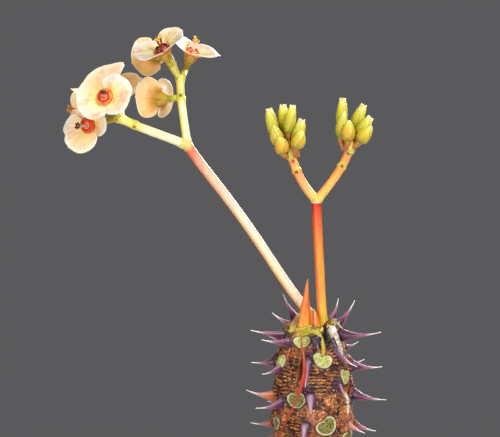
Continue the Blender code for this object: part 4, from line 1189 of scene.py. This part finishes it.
def gland_skin_rows(letter, mouth, axes):
    """A disc of glands: rings of points, whose height is a bell-shaped ring of five lobes round a dome."""
    upper = np.linspace(0.08, 3.0, 34)
    ring = np.concatenate((upper, (3.08, 3.0, 0.1)))[:, None]
    turn = angles(60)
    lobes = 0.5 + 0.5 * np.cos(5 * turn)
    fringes = 0.5 + 0.5 * np.cos(15 * turn + 1.0)
    height = 0.25 + 0.95 * bell(ring, 2.15, 0.55) * (0.55 + 0.45 * fade(lobes, 0.02, 0.35))
    height = height + 0.55 * bell(ring, 0.0, 0.9) + 0.28 * fringes * bell(ring, 1.15, 0.3)
    height[-3:] = np.array((0.2, -0.5, -0.5))[:, None]
    outer, inner = GLAND_TONES[letter]
    tone = outer + (inner - outer) * fade(ring, 2.55, 1.9) + 0.15 * (1.0 - fade(lobes, 0.0, 0.3))
    tone = tone - 0.18 * bell(ring, 1.4, 0.18) * (outer < 0.4)
    fringe = 0.85 * fade(fringes, 0.55, 0.95) * bell(ring, 1.0, 0.35)
    local = places(ring * np.cos(turn), ring * np.sin(turn), height)
    return closed_skin(mouth + local @ axes, tone=np.clip(tone, 0.0, 1.0), fringe=fringe)


def stamen_patches(letter, mouth, axes):
    """Stamens: each a thread along a curve that leaves the disc and leans out, ending in two pollen sacs."""
    count, length, spread, lean, thread, sac = STAMENS[letter]
    lean = axes @ np.array(lean)
    draw = np.random.default_rng(ord(letter))
    share = shares(9)
    patches = []
    for number in range(count):
        turn = TURN * number / count + draw.uniform(-0.4, 0.4)
        aside = np.array((math.cos(turn), math.sin(turn), 0.0)) * spread
        heading = unit(np.array((0.0, 0.0, 1.0)) + lean + aside)
        own_length = length * draw.uniform(0.72, 1.0)
        upright = np.array((0.0, 0.0, 0.6 + 0.25 * own_length)) * share
        path = mouth + (aside + upright + heading * own_length * 0.8 * share**1.5) @ axes
        patches.append(closed_skin(swept(path, 0.2 - 0.04 * share, 8), anther=0.0, thread=thread, sac=sac))
        for side in (-1, 1):
            offset = np.array((-math.sin(turn), math.cos(turn), 0.25)) * 0.36 * side
            ball = bead(path[-1] + offset @ axes, SAC_RADII)
            pollen = np.clip(sac + draw.uniform(-0.15, 0.1), 0, 1)
            patches.append(closed_skin(ball, anther=1.0, thread=thread, sac=pollen))
    return patches


# ---------------------------------------------------------------- buds


def bud_body(name, draw, foot, axes, length):
    """A bud's body: a bullet of turned rows, flattened a little, with steps where one bract laps another.

    The end of an open one is drawn out into sharp teeth.
    """
    share = shares(BUD_ROWS)
    turn = angles(BUD_COLUMNS)
    closed = name in CLOSED_BUDS
    outline = np.interp(share, BUD_STATIONS, CLOSED_BUD_RADII if closed else OPEN_BUD_RADII)
    outline = outline * math.sqrt(USUAL_BUD_LENGTH / length)
    seams, step, under = (np.zeros((BUD_ROWS, BUD_COLUMNS)) for _ in range(3))
    for place in (0.0, math.pi):
        seam_turn = place + draw.uniform(-0.5, 0.5) + 1.5 * (share - 0.4) * draw.choice((-1.0, 1.0)) + 0.9
        away = (turn - seam_turn) % TURN
        step += fade(away, 0.0, 0.06) - fade(away, 0.06, 1.7)
        seams = np.maximum(seams, bell(away, 0.07, 0.04))
        under = np.maximum(under, np.maximum(bell(away, 0.0, 0.07), bell(away, TURN, 0.07)))
    points = (0.5 + 0.5 * np.cos(5 * turn + draw.uniform(0, TURN))) ** 3
    teeth = (not closed) * fade(share, 0.9, 1.0) * points
    flattened = outline * (1.0 + 0.05 * np.cos(2 * turn + 0.6))
    radius = flattened + 0.2 * step * fade(share, 0.0, 0.15) + 0.12 * teeth
    height = share * (length - 0.6 + 0.8 * closed) + 0.9 * teeth
    local = places(radius * np.cos(turn), radius * np.sin(turn), height)
    local[..., 0] += 0.25 * np.sin(math.pi * share) * draw.uniform(-1, 1)
    sunny = GOLDEN_BUDS.get(name, 0.1) * (0.75 + 0.4 * np.sin(turn)) * fade(share, 1.0, 0.5)
    shade = 0.9 * under * fade(share, 0.02, 0.12) + 0.45 * fade(share, 0.06, 0.0)
    edge = 0.5 * seams * fade(share, 0.05, 0.2) + 1.1 * teeth * fade(share, 0.93, 1.0)
    return closed_skin(foot + local @ axes, along=share, sunny=np.clip(sunny, 0.0, 1.0), stalk=0.0,
                       shade=np.clip(shade, 0.0, 1.0), edge=np.clip(edge, 0.0, 1.0))


def bud_patches(name, number):
    """A bud's body and the short thick stalk that joins it to its branch along a cubic curve."""
    foot, axis, length, start = bud_frame(name)
    side = unit(np.cross(axis, FRONT))
    axes = np.array((side, np.cross(side, axis), axis))
    body = bud_body(name, np.random.default_rng(100 + number), foot, axes, length)
    way = foot - start
    bend = foot - axis * 0.35 * np.linalg.norm(way)
    path = bezier((start - unit(way), start + 0.3 * way, bend, foot + axis), 16)
    share = shares(16)
    stem = closed_skin(swept(path, 0.95 + 0.35 * share**2, 16), along=0.2, sunny=0.6,
                       stalk=1.0 - 0.4 * share**3, shade=0.35 * fade(share, 0.8, 1.0), edge=0.0)
    return [body, stem]


# ---------------------------------------------------------------- tip of the stem


def leaf_bud_patch(name, beyond, widths, flatness, crease_turn):
    """A folded young leaf: an oval section carried along its line, pinched by a crease up one side."""
    path = rod_line(name, 44, before=2.0, beyond=beyond, degree=3)
    share = shares(44)
    turn = angles(36)
    radius = np.interp(share, np.linspace(0.0, 1.0, len(widths)), widths)
    crease = bell(turn, math.radians(crease_turn), 0.14) * fade(share, 1.0, 0.7)
    skin = swept(path, radius * (1.0 - 0.3 * crease), 36, deep=flatness)
    # painted highlight: the lit mark lightens a band down the leaf's lit face
    lit = 0.8 * bell(turn, math.radians(crease_turn - 38), 0.2) * fade(share, 0.05, 0.3)
    # painted shade: a band on the far side, darkened with the crease colour through the crease mark
    far_side_shade = 0.3 * bell(turn, math.radians(crease_turn + 115), 0.16) * fade(share, 0.8, 0.2)
    return closed_skin(skin, along=share, crease=np.clip(crease + far_side_shade, 0, 1), lit=lit)


# Ridges of leaf-base tissue over the stem's shoulder: (angle, height, rise) stations, radius, colour tone.
LEAF_BASES = (
    (((-28, 184.4, 1.0), (-14, 185.8, 1.9), (-4, 186.5, 2.7), (5, 185.8, 2.8), (11, 183.7, 2.6),
      (14.6, 180.7, 2.3), (12.8, 177.6, 1.9)), 0.95, 0.12),
    (((-64, 184.6, 0.6), (-52, 186.0, 0.6), (-38, 186.6, 0.6), (-24, 187.0, 0.9), (-8, 188.0, 0.6)),
     0.9, 0.2),
    (((-34, 183.6, 0.7), (-26, 185.0, 1.2), (-18, 186.4, 1.0), (-8, 187.2, 1.4)), 0.7, 0.05),
    (((4, 187.0, 1.6), (12, 186.0, 1.5), (19, 186.6, 0.9), (24, 187.2, 0.6)), 0.75, 0.25),
    (((46, 187.4, 1.0), (47, 185.2, 0.7), (50, 182.4, 0.5), (54, 179.4, 0.4), (52, 176.4, 0.3)), 1.8, 0.64),
    (((17, 186.8, 0.5), (13, 184.6, 0.5), (17, 181.6, 0.5)), 0.45, 0.2),
    (((150, 184.6, 0.5), (164, 186.4, 0.9), (180, 186.8, 1.0), (196, 186.0, 0.8), (206, 183.6, 0.6)),
     0.8, 0.15),
    (((-118, 183.8, 0.5), (-104, 186.0, 0.8), (-88, 186.6, 0.8), (-74, 185.4, 0.6)), 0.75, 0.3),
    (((84, 184.0, 0.5), (98, 186.2, 0.8), (114, 186.6, 0.8), (126, 185.0, 0.6)), 0.75, 0.25),
    (((-26, 181.0, 0.9), (-24, 176.0, 1.2), (-23, 171.0, 1.1), (-26, 166.0, 0.8)), 0.55, 0.9),
    (((52, 163.0, 0.6), (55, 160.0, 1.0), (56, 157.0, 1.0), (57, 153.6, 0.6)), 0.75, 0.62),
)
# A pale leaf scale that stands against the leaf bud: points along its middle.
SCALE_LINE = ((-8.4, -5.6, 185.2), (-7.7, -5.8, 188.2), (-6.6, -5.9, 190.8), (-5.6, -5.8, 192.6))
FRINGE_PLACE = (62.0, 187.0)  # angle and height of the tuft beside the bud stalk
FRINGE_COUNT = 34
FRINGE_TONES = (0.25, 0.9, 1.0)
# A white bead on a wet scar beside the bud stalk, its white a painted highlight: place as angle, height and
# rise, then radii.
WET_SCAR_GLINT_PLACE = (45, 185.9, 1.5)
WET_SCAR_GLINT_RADII = (1.3, 1.0, 2.0)


def ridge_patch(stations, radius, tone):
    """A ridge of leaf-base tissue: a round section carried over the shoulder, lumpy, with tapered ends."""
    route = eased([on_stem(*station) for station in stations], 40, 1.2)
    share = shares(40)
    turn = angles(18)
    size = radius * (0.35 + 0.65 * np.sin(math.pi * np.clip(share, 0.04, 0.96)) ** 0.5)
    grid = places(30 * share, np.cos(turn), np.sin(turn))
    skin = swept(route, size * (1.0 + 0.16 * rough(grid, 1.5, seed=81)), 18)
    mottle = 0.1 * rough(grid * 0.6, 1.2, seed=83)
    return closed_skin(skin, tone=np.clip(tone + 0.06 * np.sin(turn) + mottle, 0, 1))


def fringe_patches():
    """A tuft of short straight bristles."""
    draw = np.random.default_rng(91)
    share = shares(8)
    middle, level = FRINGE_PLACE
    for _ in range(FRINGE_COUNT):
        angle = middle + draw.uniform(-22, 26)
        root = on_stem(angle, level + draw.uniform(-0.6, 1.6), draw.uniform(-1.0, 0.6))
        heading = np.array((0.6 * math.sin(math.radians(angle)), -0.5, 1.0)) + draw.uniform(-0.4, 0.4, 3)
        path = root + heading * share * draw.uniform(0.9, 1.9)
        yield closed_skin(swept(path, 0.4 * (1.0 - 0.65 * share), 8), tone=draw.choice(FRINGE_TONES))


def leaf_base_patches():
    """Leaf bases: ridges along the shoulder, a white bead for a wet scar whose white is a painted highlight,
    a leaf scale and a tuft of bristles.
    """
    ridges = [ridge_patch(*ridge) for ridge in LEAF_BASES]
    wet_scar_glint = closed_skin(bead(on_stem(*WET_SCAR_GLINT_PLACE), WET_SCAR_GLINT_RADII, 12, 16), tone=0.75)
    share = shares(24)
    scale = swept(eased(SCALE_LINE, 24, 0.8), 1.5 * (1.0 - 0.75 * share**1.5), 20, deep=0.35)
    return [*ridges, wet_scar_glint, closed_skin(scale, tone=0.35 + 0.25 * share), *fringe_patches()]


def strand_patch(settings):
    """The dead stalk: a thin crooked rod along its CAD line, pinched and swollen by noise."""
    path = rod_line("dried_strand", 90, degree=6)
    share = shares(90)
    turn = angles(12)
    path = path + 0.16 * np.stack([np.sin(11.0 * share[:, 0] + k) for k in (0.0, 1.4, 2.9)], axis=1)
    grid = places(40 * share, np.cos(turn), np.sin(turn))
    radius = settings.strand_radius / MM * (0.62 + 0.7 * bell(share, 0.68, 0.16))
    skin = swept(path, radius * (1.0 + 0.2 * rough(grid, 1.8, seed=95)), 12)
    return closed_skin(skin, along=share)


# ---------------------------------------------------------------- settings


def colour_setting(label, words, hex_colour):
    """A text setting that holds an sRGB hex colour."""
    return bpy.props.StringProperty(name=label, description=words, default=hex_colour, maxlen=6)


def length_setting(label, words, millimetres):
    """A setting that holds a length."""
    return bpy.props.FloatProperty(name=label, description=words, default=millimetres * MM, min=0.0,
                                   unit="LENGTH", subtype="DISTANCE", precision=5)


def power_setting(label, words, watts):
    """A setting that holds a light's power."""
    return bpy.props.FloatProperty(name=label, description=words, default=watts, min=0.0, unit="POWER")


class EuphorbiaPotSettings(bpy.types.PropertyGroup):
    clay: colour_setting("Clay", "Lighter colour of the fired clay", "BE6C45")
    clay_dark: colour_setting("Dark clay", "Darker colour of the fired clay", "A4522F")
    bloom: colour_setting("Bloom", "Colour of dried lime on the clay", "D8B49A")
    peat: colour_setting("Peat", "Colour of the soil", "32231A")
    grit_count: bpy.props.IntProperty(name="Grit", description="Number of grains on the soil", default=520,
                                      min=0)
    grit_size: length_setting("Grit size", "Radius of the largest grains", 1.7)


class EuphorbiaStemSettings(bpy.types.PropertyGroup):
    bark: colour_setting("Bark", "Middle colour of the bark", "8E4E26")
    crevice: colour_setting("Crevice", "Colour deep in the bark", "35140A")
    knob: colour_setting("Grain", "Colour of the bark's grains", "C27E42")
    knob_top: colour_setting("Grain top", "Colour of the tops of the grains", "F2CE92")
    moss: colour_setting("Green cast", "Green cast of the bark in patches", "8A7A3C")
    grain: length_setting("Grain size", "Distance between the grains of the bark", 0.95)
    mauve: colour_setting("Mauve", "Colour round the roots of the spines", "5A2C4E")
    young: colour_setting("Young skin", "Colour of the newest skin at the tip", "CBB23E")
    scar: colour_setting("Scar", "Colour of old leaf scars", "6A6614")
    scar_pale: colour_setting("Young scar", "Colour of young leaf scars", "C4C47A")
    scar_rim: colour_setting("Scar rim", "Colour of the rims of leaf scars", "EAE4B2")
    scar_width: length_setting("Scar width", "Width of an old leaf scar", 7.3)
    scar_height: length_setting("Scar height", "Height of an old leaf scar", 6.2)
    crack_depth: length_setting("Crack depth", "Depth of the cracks across the bark", 0.55)
    flare: length_setting("Flare", "How far the stem swells out at the root of a spine", 1.9)


class EuphorbiaSpineSettings(bpy.types.PropertyGroup):
    foot: colour_setting("Foot", "Colour of a spine's foot", "2A0C20")
    middle: colour_setting("Middle", "Colour halfway along a spine", "602544")
    point: colour_setting("Point", "Colour of a spine's point", "F4ECEC")
    warm: colour_setting("Warm", "Colour of the orange spines", "C46A34")
    bloom: colour_setting("Bloom", "Colour of the bloom on the spines", "8A5E88")
    root_height: length_setting("Root height", "Height of a spine at its root", 7.4)
    root_thickness: length_setting("Root thickness", "Thickness of a spine at its root", 3.4)
    sag: length_setting("Sag", "How far a spine sags in its middle", 0.8)


class EuphorbiaStalkSettings(bpy.types.PropertyGroup):
    collar: colour_setting("Collar", "Colour of the swollen nodes", "C9C452")
    bract_scar: colour_setting("Bract scar", "Colour of the small scars on the stalks", "8A3016")
    strand: colour_setting("Dead stalk", "Colour of the dead stalk down the stem", "C0281A")
    strand_radius: length_setting("Dead stalk radius", "Radius of the dead stalk at its thickest", 0.5)


class EuphorbiaFlowerSettings(bpy.types.PropertyGroup):
    inside: colour_setting("Inside", "Colour of a petal's inner face", "F1DEC8")
    throat: colour_setting("Throat", "Colour of a petal's inner face at the cup", "F8EA9A")
    blush: colour_setting("Blush", "Colour of the pinkest petals", "F0BC9E")
    outside: colour_setting("Outside", "Colour of a petal's outer face", "FACC98")
    petal_thickness: length_setting("Petal thickness", "Thickness of a petal near the cup", 0.45)
    ruffle: length_setting("Ruffle", "Height of the ripples at a petal's rim", 0.35)
    pedicel: colour_setting("Pedicel", "Colour of the short stalk below a cup", "C3BE4A")
    cup: colour_setting("Cup", "Colour of the cup's foot", "A99A30")
    rib: colour_setting("Rib", "Colour of the cup's ribs", "A85A1E")
    gold: colour_setting("Gold gland", "Colour of golden glands", "E8A032")
    red: colour_setting("Red gland", "Colour of red glands", "DA2A16")


class EuphorbiaBudSettings(bpy.types.PropertyGroup):
    green: colour_setting("Green", "Colour of the buds' shaded sides", "B4AE2A")
    gold: colour_setting("Gold", "Colour of the buds' sunny sides", "D89C30")
    tip: colour_setting("Tip", "Colour of the buds' tips and edges", "F6F0CC")
    stalk: colour_setting("Stalk", "Colour of the buds' short stalks", "B8733A")
    leaf_bud: colour_setting("Leaf bud", "Colour of the leaf bud", "E67E28")
    crease: colour_setting("Crease", "Colour of the leaf bud's crease", "8E2410")
    leaf_base: colour_setting("Leaf base", "Colour of fresh leaf bases", "B9B03A")


class EuphorbiaStageSettings(bpy.types.PropertyGroup):
    floor: colour_setting("Floor", "Colour of the floor", "DAD6CE")
    backdrop: colour_setting("Backdrop", "Colour of the surrounding air", "5A5A5C")
    floor_radius: length_setting("Floor radius", "Radius of the floor", 660.0)
    distance: length_setting("Distance", "From the camera to the plant", 527.8)
    elevation: bpy.props.FloatProperty(name="Elevation", description="Height angle of the camera",
                                       default=math.radians(3), subtype="ANGLE")
    lens: bpy.props.FloatProperty(name="Lens", description="Focal length in millimetres", default=100.0)
    key_power: power_setting("Key light", "Power of the main light", 5.0)
    fill_power: power_setting("Fill light", "Power of the soft side light", 4.6)
    rim_power: power_setting("Rim light", "Power of the light from behind", 6.5)


SETTINGS = {
    "pot": EuphorbiaPotSettings, "stem": EuphorbiaStemSettings, "spine": EuphorbiaSpineSettings,
    "stalk": EuphorbiaStalkSettings, "flower": EuphorbiaFlowerSettings, "bud": EuphorbiaBudSettings,
    "stage": EuphorbiaStageSettings,
}


def settings_of(context, group):
    """The scene's settings for one group of pieces."""
    return getattr(context.scene, f"euphorbia_{group}")


# ---------------------------------------------------------------- operators


class EUPHORBIA_OT_pot(bpy.types.Operator):
    """Build the clay pot and drill its drain holes"""

    bl_idname = "euphorbia.pot"
    bl_label = "Pot"

    def execute(self, context):
        settings = settings_of(context, "pot")
        piece = add_piece("clay_pot", [pot_skin()], terracotta(settings), "clay", "pot")
        cut_drains(piece)
        return {"FINISHED"}


class EUPHORBIA_OT_soil(bpy.types.Operator):
    """Build the soil and the grit on it"""

    bl_idname = "euphorbia.soil"
    bl_label = "Soil"

    def execute(self, context):
        settings = settings_of(context, "pot")
        add_piece("soil", [soil_skin()], potting_soil(settings), "peat_soil", "potting_mix")
        grains = grit_skin(settings.grit_count, settings.grit_size / MM)
        add_piece("soil_grit", grains, pumice_and_bark(), "peat_soil", "potting_mix")
        return {"FINISHED"}


class EUPHORBIA_OT_stem(bpy.types.Operator):
    """Build the stem with its bark and leaf scars"""

    bl_idname = "euphorbia.stem"
    bl_label = "Stem"

    def execute(self, context):
        settings = settings_of(context, "stem")
        add_piece("stem", [stem_skin(settings)], corky_bark(settings), "stem_bark", "main_stem")
        return {"FINISHED"}


class EUPHORBIA_OT_spines(bpy.types.Operator):
    """Build all the spines"""

    bl_idname = "euphorbia.spines"
    bl_label = "Spines"

    def execute(self, context):
        settings = settings_of(context, "spine")
        patches = [spine_skin(number, *spine, settings) for number, spine in enumerate(spine_roots())]
        add_piece("spines", patches, horny_spine(settings), "stem_bark", "main_stem")
        return {"FINISHED"}


class EUPHORBIA_OT_stalks(bpy.types.Operator):
    """Build both forked flower stalks"""

    bl_idname = "euphorbia.stalks"
    bl_label = "Stalks"

    def execute(self, context):
        settings = settings_of(context, "stalk")
        skins = {name: stalk_skin(name, settings) for name in STALK_COLOURS}
        for piece, node, skin, slot, course, radius, shaded, swellings, scars in STALKS:
            line = rod_line(node, *course)
            patches = [stalk_skin_rows(line, radius, swellings, scars, shaded)]
            if skin == "bud_branch_skin":
                patches.append(bract_scale_rows(line[-1]))
            add_piece(piece, patches, skins[skin], slot, node)
        return {"FINISHED"}


class EUPHORBIA_OT_flowers(bpy.types.Operator):
    """Build the eight open flowers: cups, petals, glands and stamens"""

    bl_idname = "euphorbia.flowers"
    bl_label = "Flowers"

    def execute(self, context):
        settings = settings_of(context, "flower")
        cup, petal = cup_skin(settings), petal_skin(settings)
        gland, stamen = gland_skin(settings), stamen_skin()
        for letter in FLOWERS:
            mouth, axes = flower_frame(letter)
            node = f"flower_{letter}"
            bowl = [cup_skin_rows(letter, mouth, axes)]
            add_piece(f"{node}_cup_skin", bowl, cup, "cup_green", f"{node}_cup")
            for number in (1, 2):
                rows = petal_skin_rows(letter, number, mouth, axes, settings)
                add_piece(f"{node}_bract_{number}", [rows], petal, "petal_cream", f"{node}_petal_{number}")
            ring = [gland_skin_rows(letter, mouth, axes)]
            add_piece(f"{node}_gland_ring", ring, gland, "gland_red", f"{node}_glands")
            threads = stamen_patches(letter, mouth, axes)
            add_piece(f"{node}_stamens", threads, stamen, "gland_red", f"{node}_glands")
        return {"FINISHED"}


class EUPHORBIA_OT_buds(bpy.types.Operator):
    """Build the thirteen closed buds"""

    bl_idname = "euphorbia.buds"
    bl_label = "Buds"

    def execute(self, context):
        material = bud_skin(settings_of(context, "bud"))
        for number, name in enumerate(LEFT_BUDS + RIGHT_BUDS):
            add_piece(f"{name}_skin", bud_patches(name, number), material, "bud_green", name)
        return {"FINISHED"}


class EUPHORBIA_OT_tip(bpy.types.Operator):
    """Build the leaf bud, its bract and the leaf bases round them"""

    bl_idname = "euphorbia.tip"
    bl_label = "Tip"

    def execute(self, context):
        settings = settings_of(context, "bud")
        leaf = leaf_bud_skin(settings)
        spike = leaf_bud_patch("leaf_bud", 0.0, (2.5, 3.0, 2.8, 2.25, 1.7, 1.25, 0.95, 0.6, 0.14), 0.8, 38)
        add_piece("leaf_spike", [spike], leaf, "leaf_bud_orange", "leaf_bud")
        bract = leaf_bud_patch("small_bract", 2.2, (1.5, 1.6, 1.35, 0.9, 0.15), 0.7, 130)
        add_piece("side_bract", [bract], leaf, "leaf_bud_orange", "small_bract")
        add_piece("leaf_bases", leaf_base_patches(), leaf_base_skin(settings), "stem_bark", "main_stem")
        return {"FINISHED"}


class EUPHORBIA_OT_strand(bpy.types.Operator):
    """Build the dead stalk that hangs down the stem"""

    bl_idname = "euphorbia.strand"
    bl_label = "Dead stalk"

    def execute(self, context):
        settings = settings_of(context, "stalk")
        add_piece("dead_stalk", [strand_patch(settings)], dried_stalk(settings), "dried_red", "dried_strand")
        return {"FINISHED"}


class EUPHORBIA_OT_stage(bpy.types.Operator):
    """Lay the floor and set the lights, the air and the camera"""

    bl_idname = "euphorbia.stage"
    bl_label = "Stage"

    def execute(self, context):
        settings = settings_of(context, "stage")
        target = Vector((-0.02413, 0.0, POT_HEIGHT * MM + 0.12303))
        lay_floor(settings)
        set_air(settings)
        add_light("key", (0.32, -0.52, 0.62), target, 0.3, settings.key_power)
        add_light("fill", (-0.38, -0.62, 0.08), target, 0.5, settings.fill_power)
        add_light("rim", (0.25, 0.5, 0.55), target, 0.35, settings.rim_power)
        camera = bpy.data.objects.new("camera", bpy.data.cameras.new("camera"))
        context.scene.collection.objects.link(camera)
        rise = settings.elevation
        back = Vector((0.0, -math.cos(rise), math.sin(rise)))
        camera.location = target + back * settings.distance
        camera.rotation_euler = (-back).to_track_quat("-Z", "Y").to_euler()
        camera.data.lens = settings.lens
        context.scene.camera = camera
        context.scene.view_settings.view_transform = "Standard"
        return {"FINISHED"}


FLOOR_SIDES = 96
FLOOR_GAP = 0.02  # keeps the floor's face just clear of the pot's base
FLOOR_THICKNESS = 6.0


def lay_floor(settings):
    """A round floor just under the pot's base, with a dull even finish."""
    rings = np.linspace(0.001, settings.floor_radius / MM, 6)[:, None]
    top = round_axis(rings, angles(FLOOR_SIDES), -FLOOR_GAP)
    under = top[::-1] - np.array((0.0, 0.0, FLOOR_THICKNESS))
    floor = add_object("floor", *closed_skin(np.concatenate((top, under)))[:3])
    material, tree = new_material("matt_paper")
    colour = paint(tree, settings.floor, (speckle(tree, 60), "D2CDC4"))
    floor.data.materials.append(finish_skin(material, colour, ((speckle(tree, 1.5), 0.02),), 0.8))
    floor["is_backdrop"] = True


def set_air(settings):
    """An even soft light from all round."""
    world = bpy.data.worlds.new("air")
    world.use_nodes = True
    world.node_tree.nodes["Background"].inputs["Color"].default_value = linear(settings.backdrop)
    bpy.context.scene.world = world


def add_light(name, place, target, size, power):
    """A square soft light aimed at the plant."""
    light = bpy.data.lights.new(name, "AREA")
    light.size = size
    light.energy = power
    lamp = bpy.data.objects.new(name, light)
    lamp.location = place
    lamp.rotation_euler = (target - Vector(place)).to_track_quat("-Z", "Y").to_euler()
    bpy.context.scene.collection.objects.link(lamp)


OPERATORS = (
    EUPHORBIA_OT_stage, EUPHORBIA_OT_pot, EUPHORBIA_OT_soil, EUPHORBIA_OT_stem, EUPHORBIA_OT_spines,
    EUPHORBIA_OT_stalks, EUPHORBIA_OT_flowers, EUPHORBIA_OT_buds, EUPHORBIA_OT_tip, EUPHORBIA_OT_strand,
)


class EUPHORBIA_PT_sidebar(bpy.types.Panel):
    """The plant's pieces and settings"""

    bl_label = "Euphorbia"
    bl_space_type = "VIEW_3D"
    bl_region_type = "UI"
    bl_category = "Euphorbia"

    def draw(self, context):
        for operator in OPERATORS:
            self.layout.operator(operator.bl_idname, text=operator.bl_label)
        for group, kind in SETTINGS.items():
            box = self.layout.box()
            box.label(text=group.title())
            for name in kind.__annotations__:
                box.prop(settings_of(context, group), name)


def register():
    """Register every class, and give the scene its settings"""
    for kind in (*SETTINGS.values(), *OPERATORS, EUPHORBIA_PT_sidebar):
        bpy.utils.register_class(kind)
    for group, kind in SETTINGS.items():
        setattr(bpy.types.Scene, f"euphorbia_{group}", bpy.props.PointerProperty(type=kind))


def unregister():
    """Take the settings off the scene, and unregister every class"""
    for group in SETTINGS:
        delattr(bpy.types.Scene, f"euphorbia_{group}")
    for kind in (EUPHORBIA_PT_sidebar, *reversed(OPERATORS), *reversed(list(SETTINGS.values()))):
        bpy.utils.unregister_class(kind)


def main():
    """Build everything in order"""
    register()
    for operator in OPERATORS:
        group, name = operator.bl_idname.split(".")
        getattr(getattr(bpy.ops, group), name)()
    bpy.context.view_layer.update()
    boxes = {"cad": cad_box, "visual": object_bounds()}
    {name: [list(corner) for corner in box] for name, box in boxes.items()}


if __name__ == "__main__":
    main()
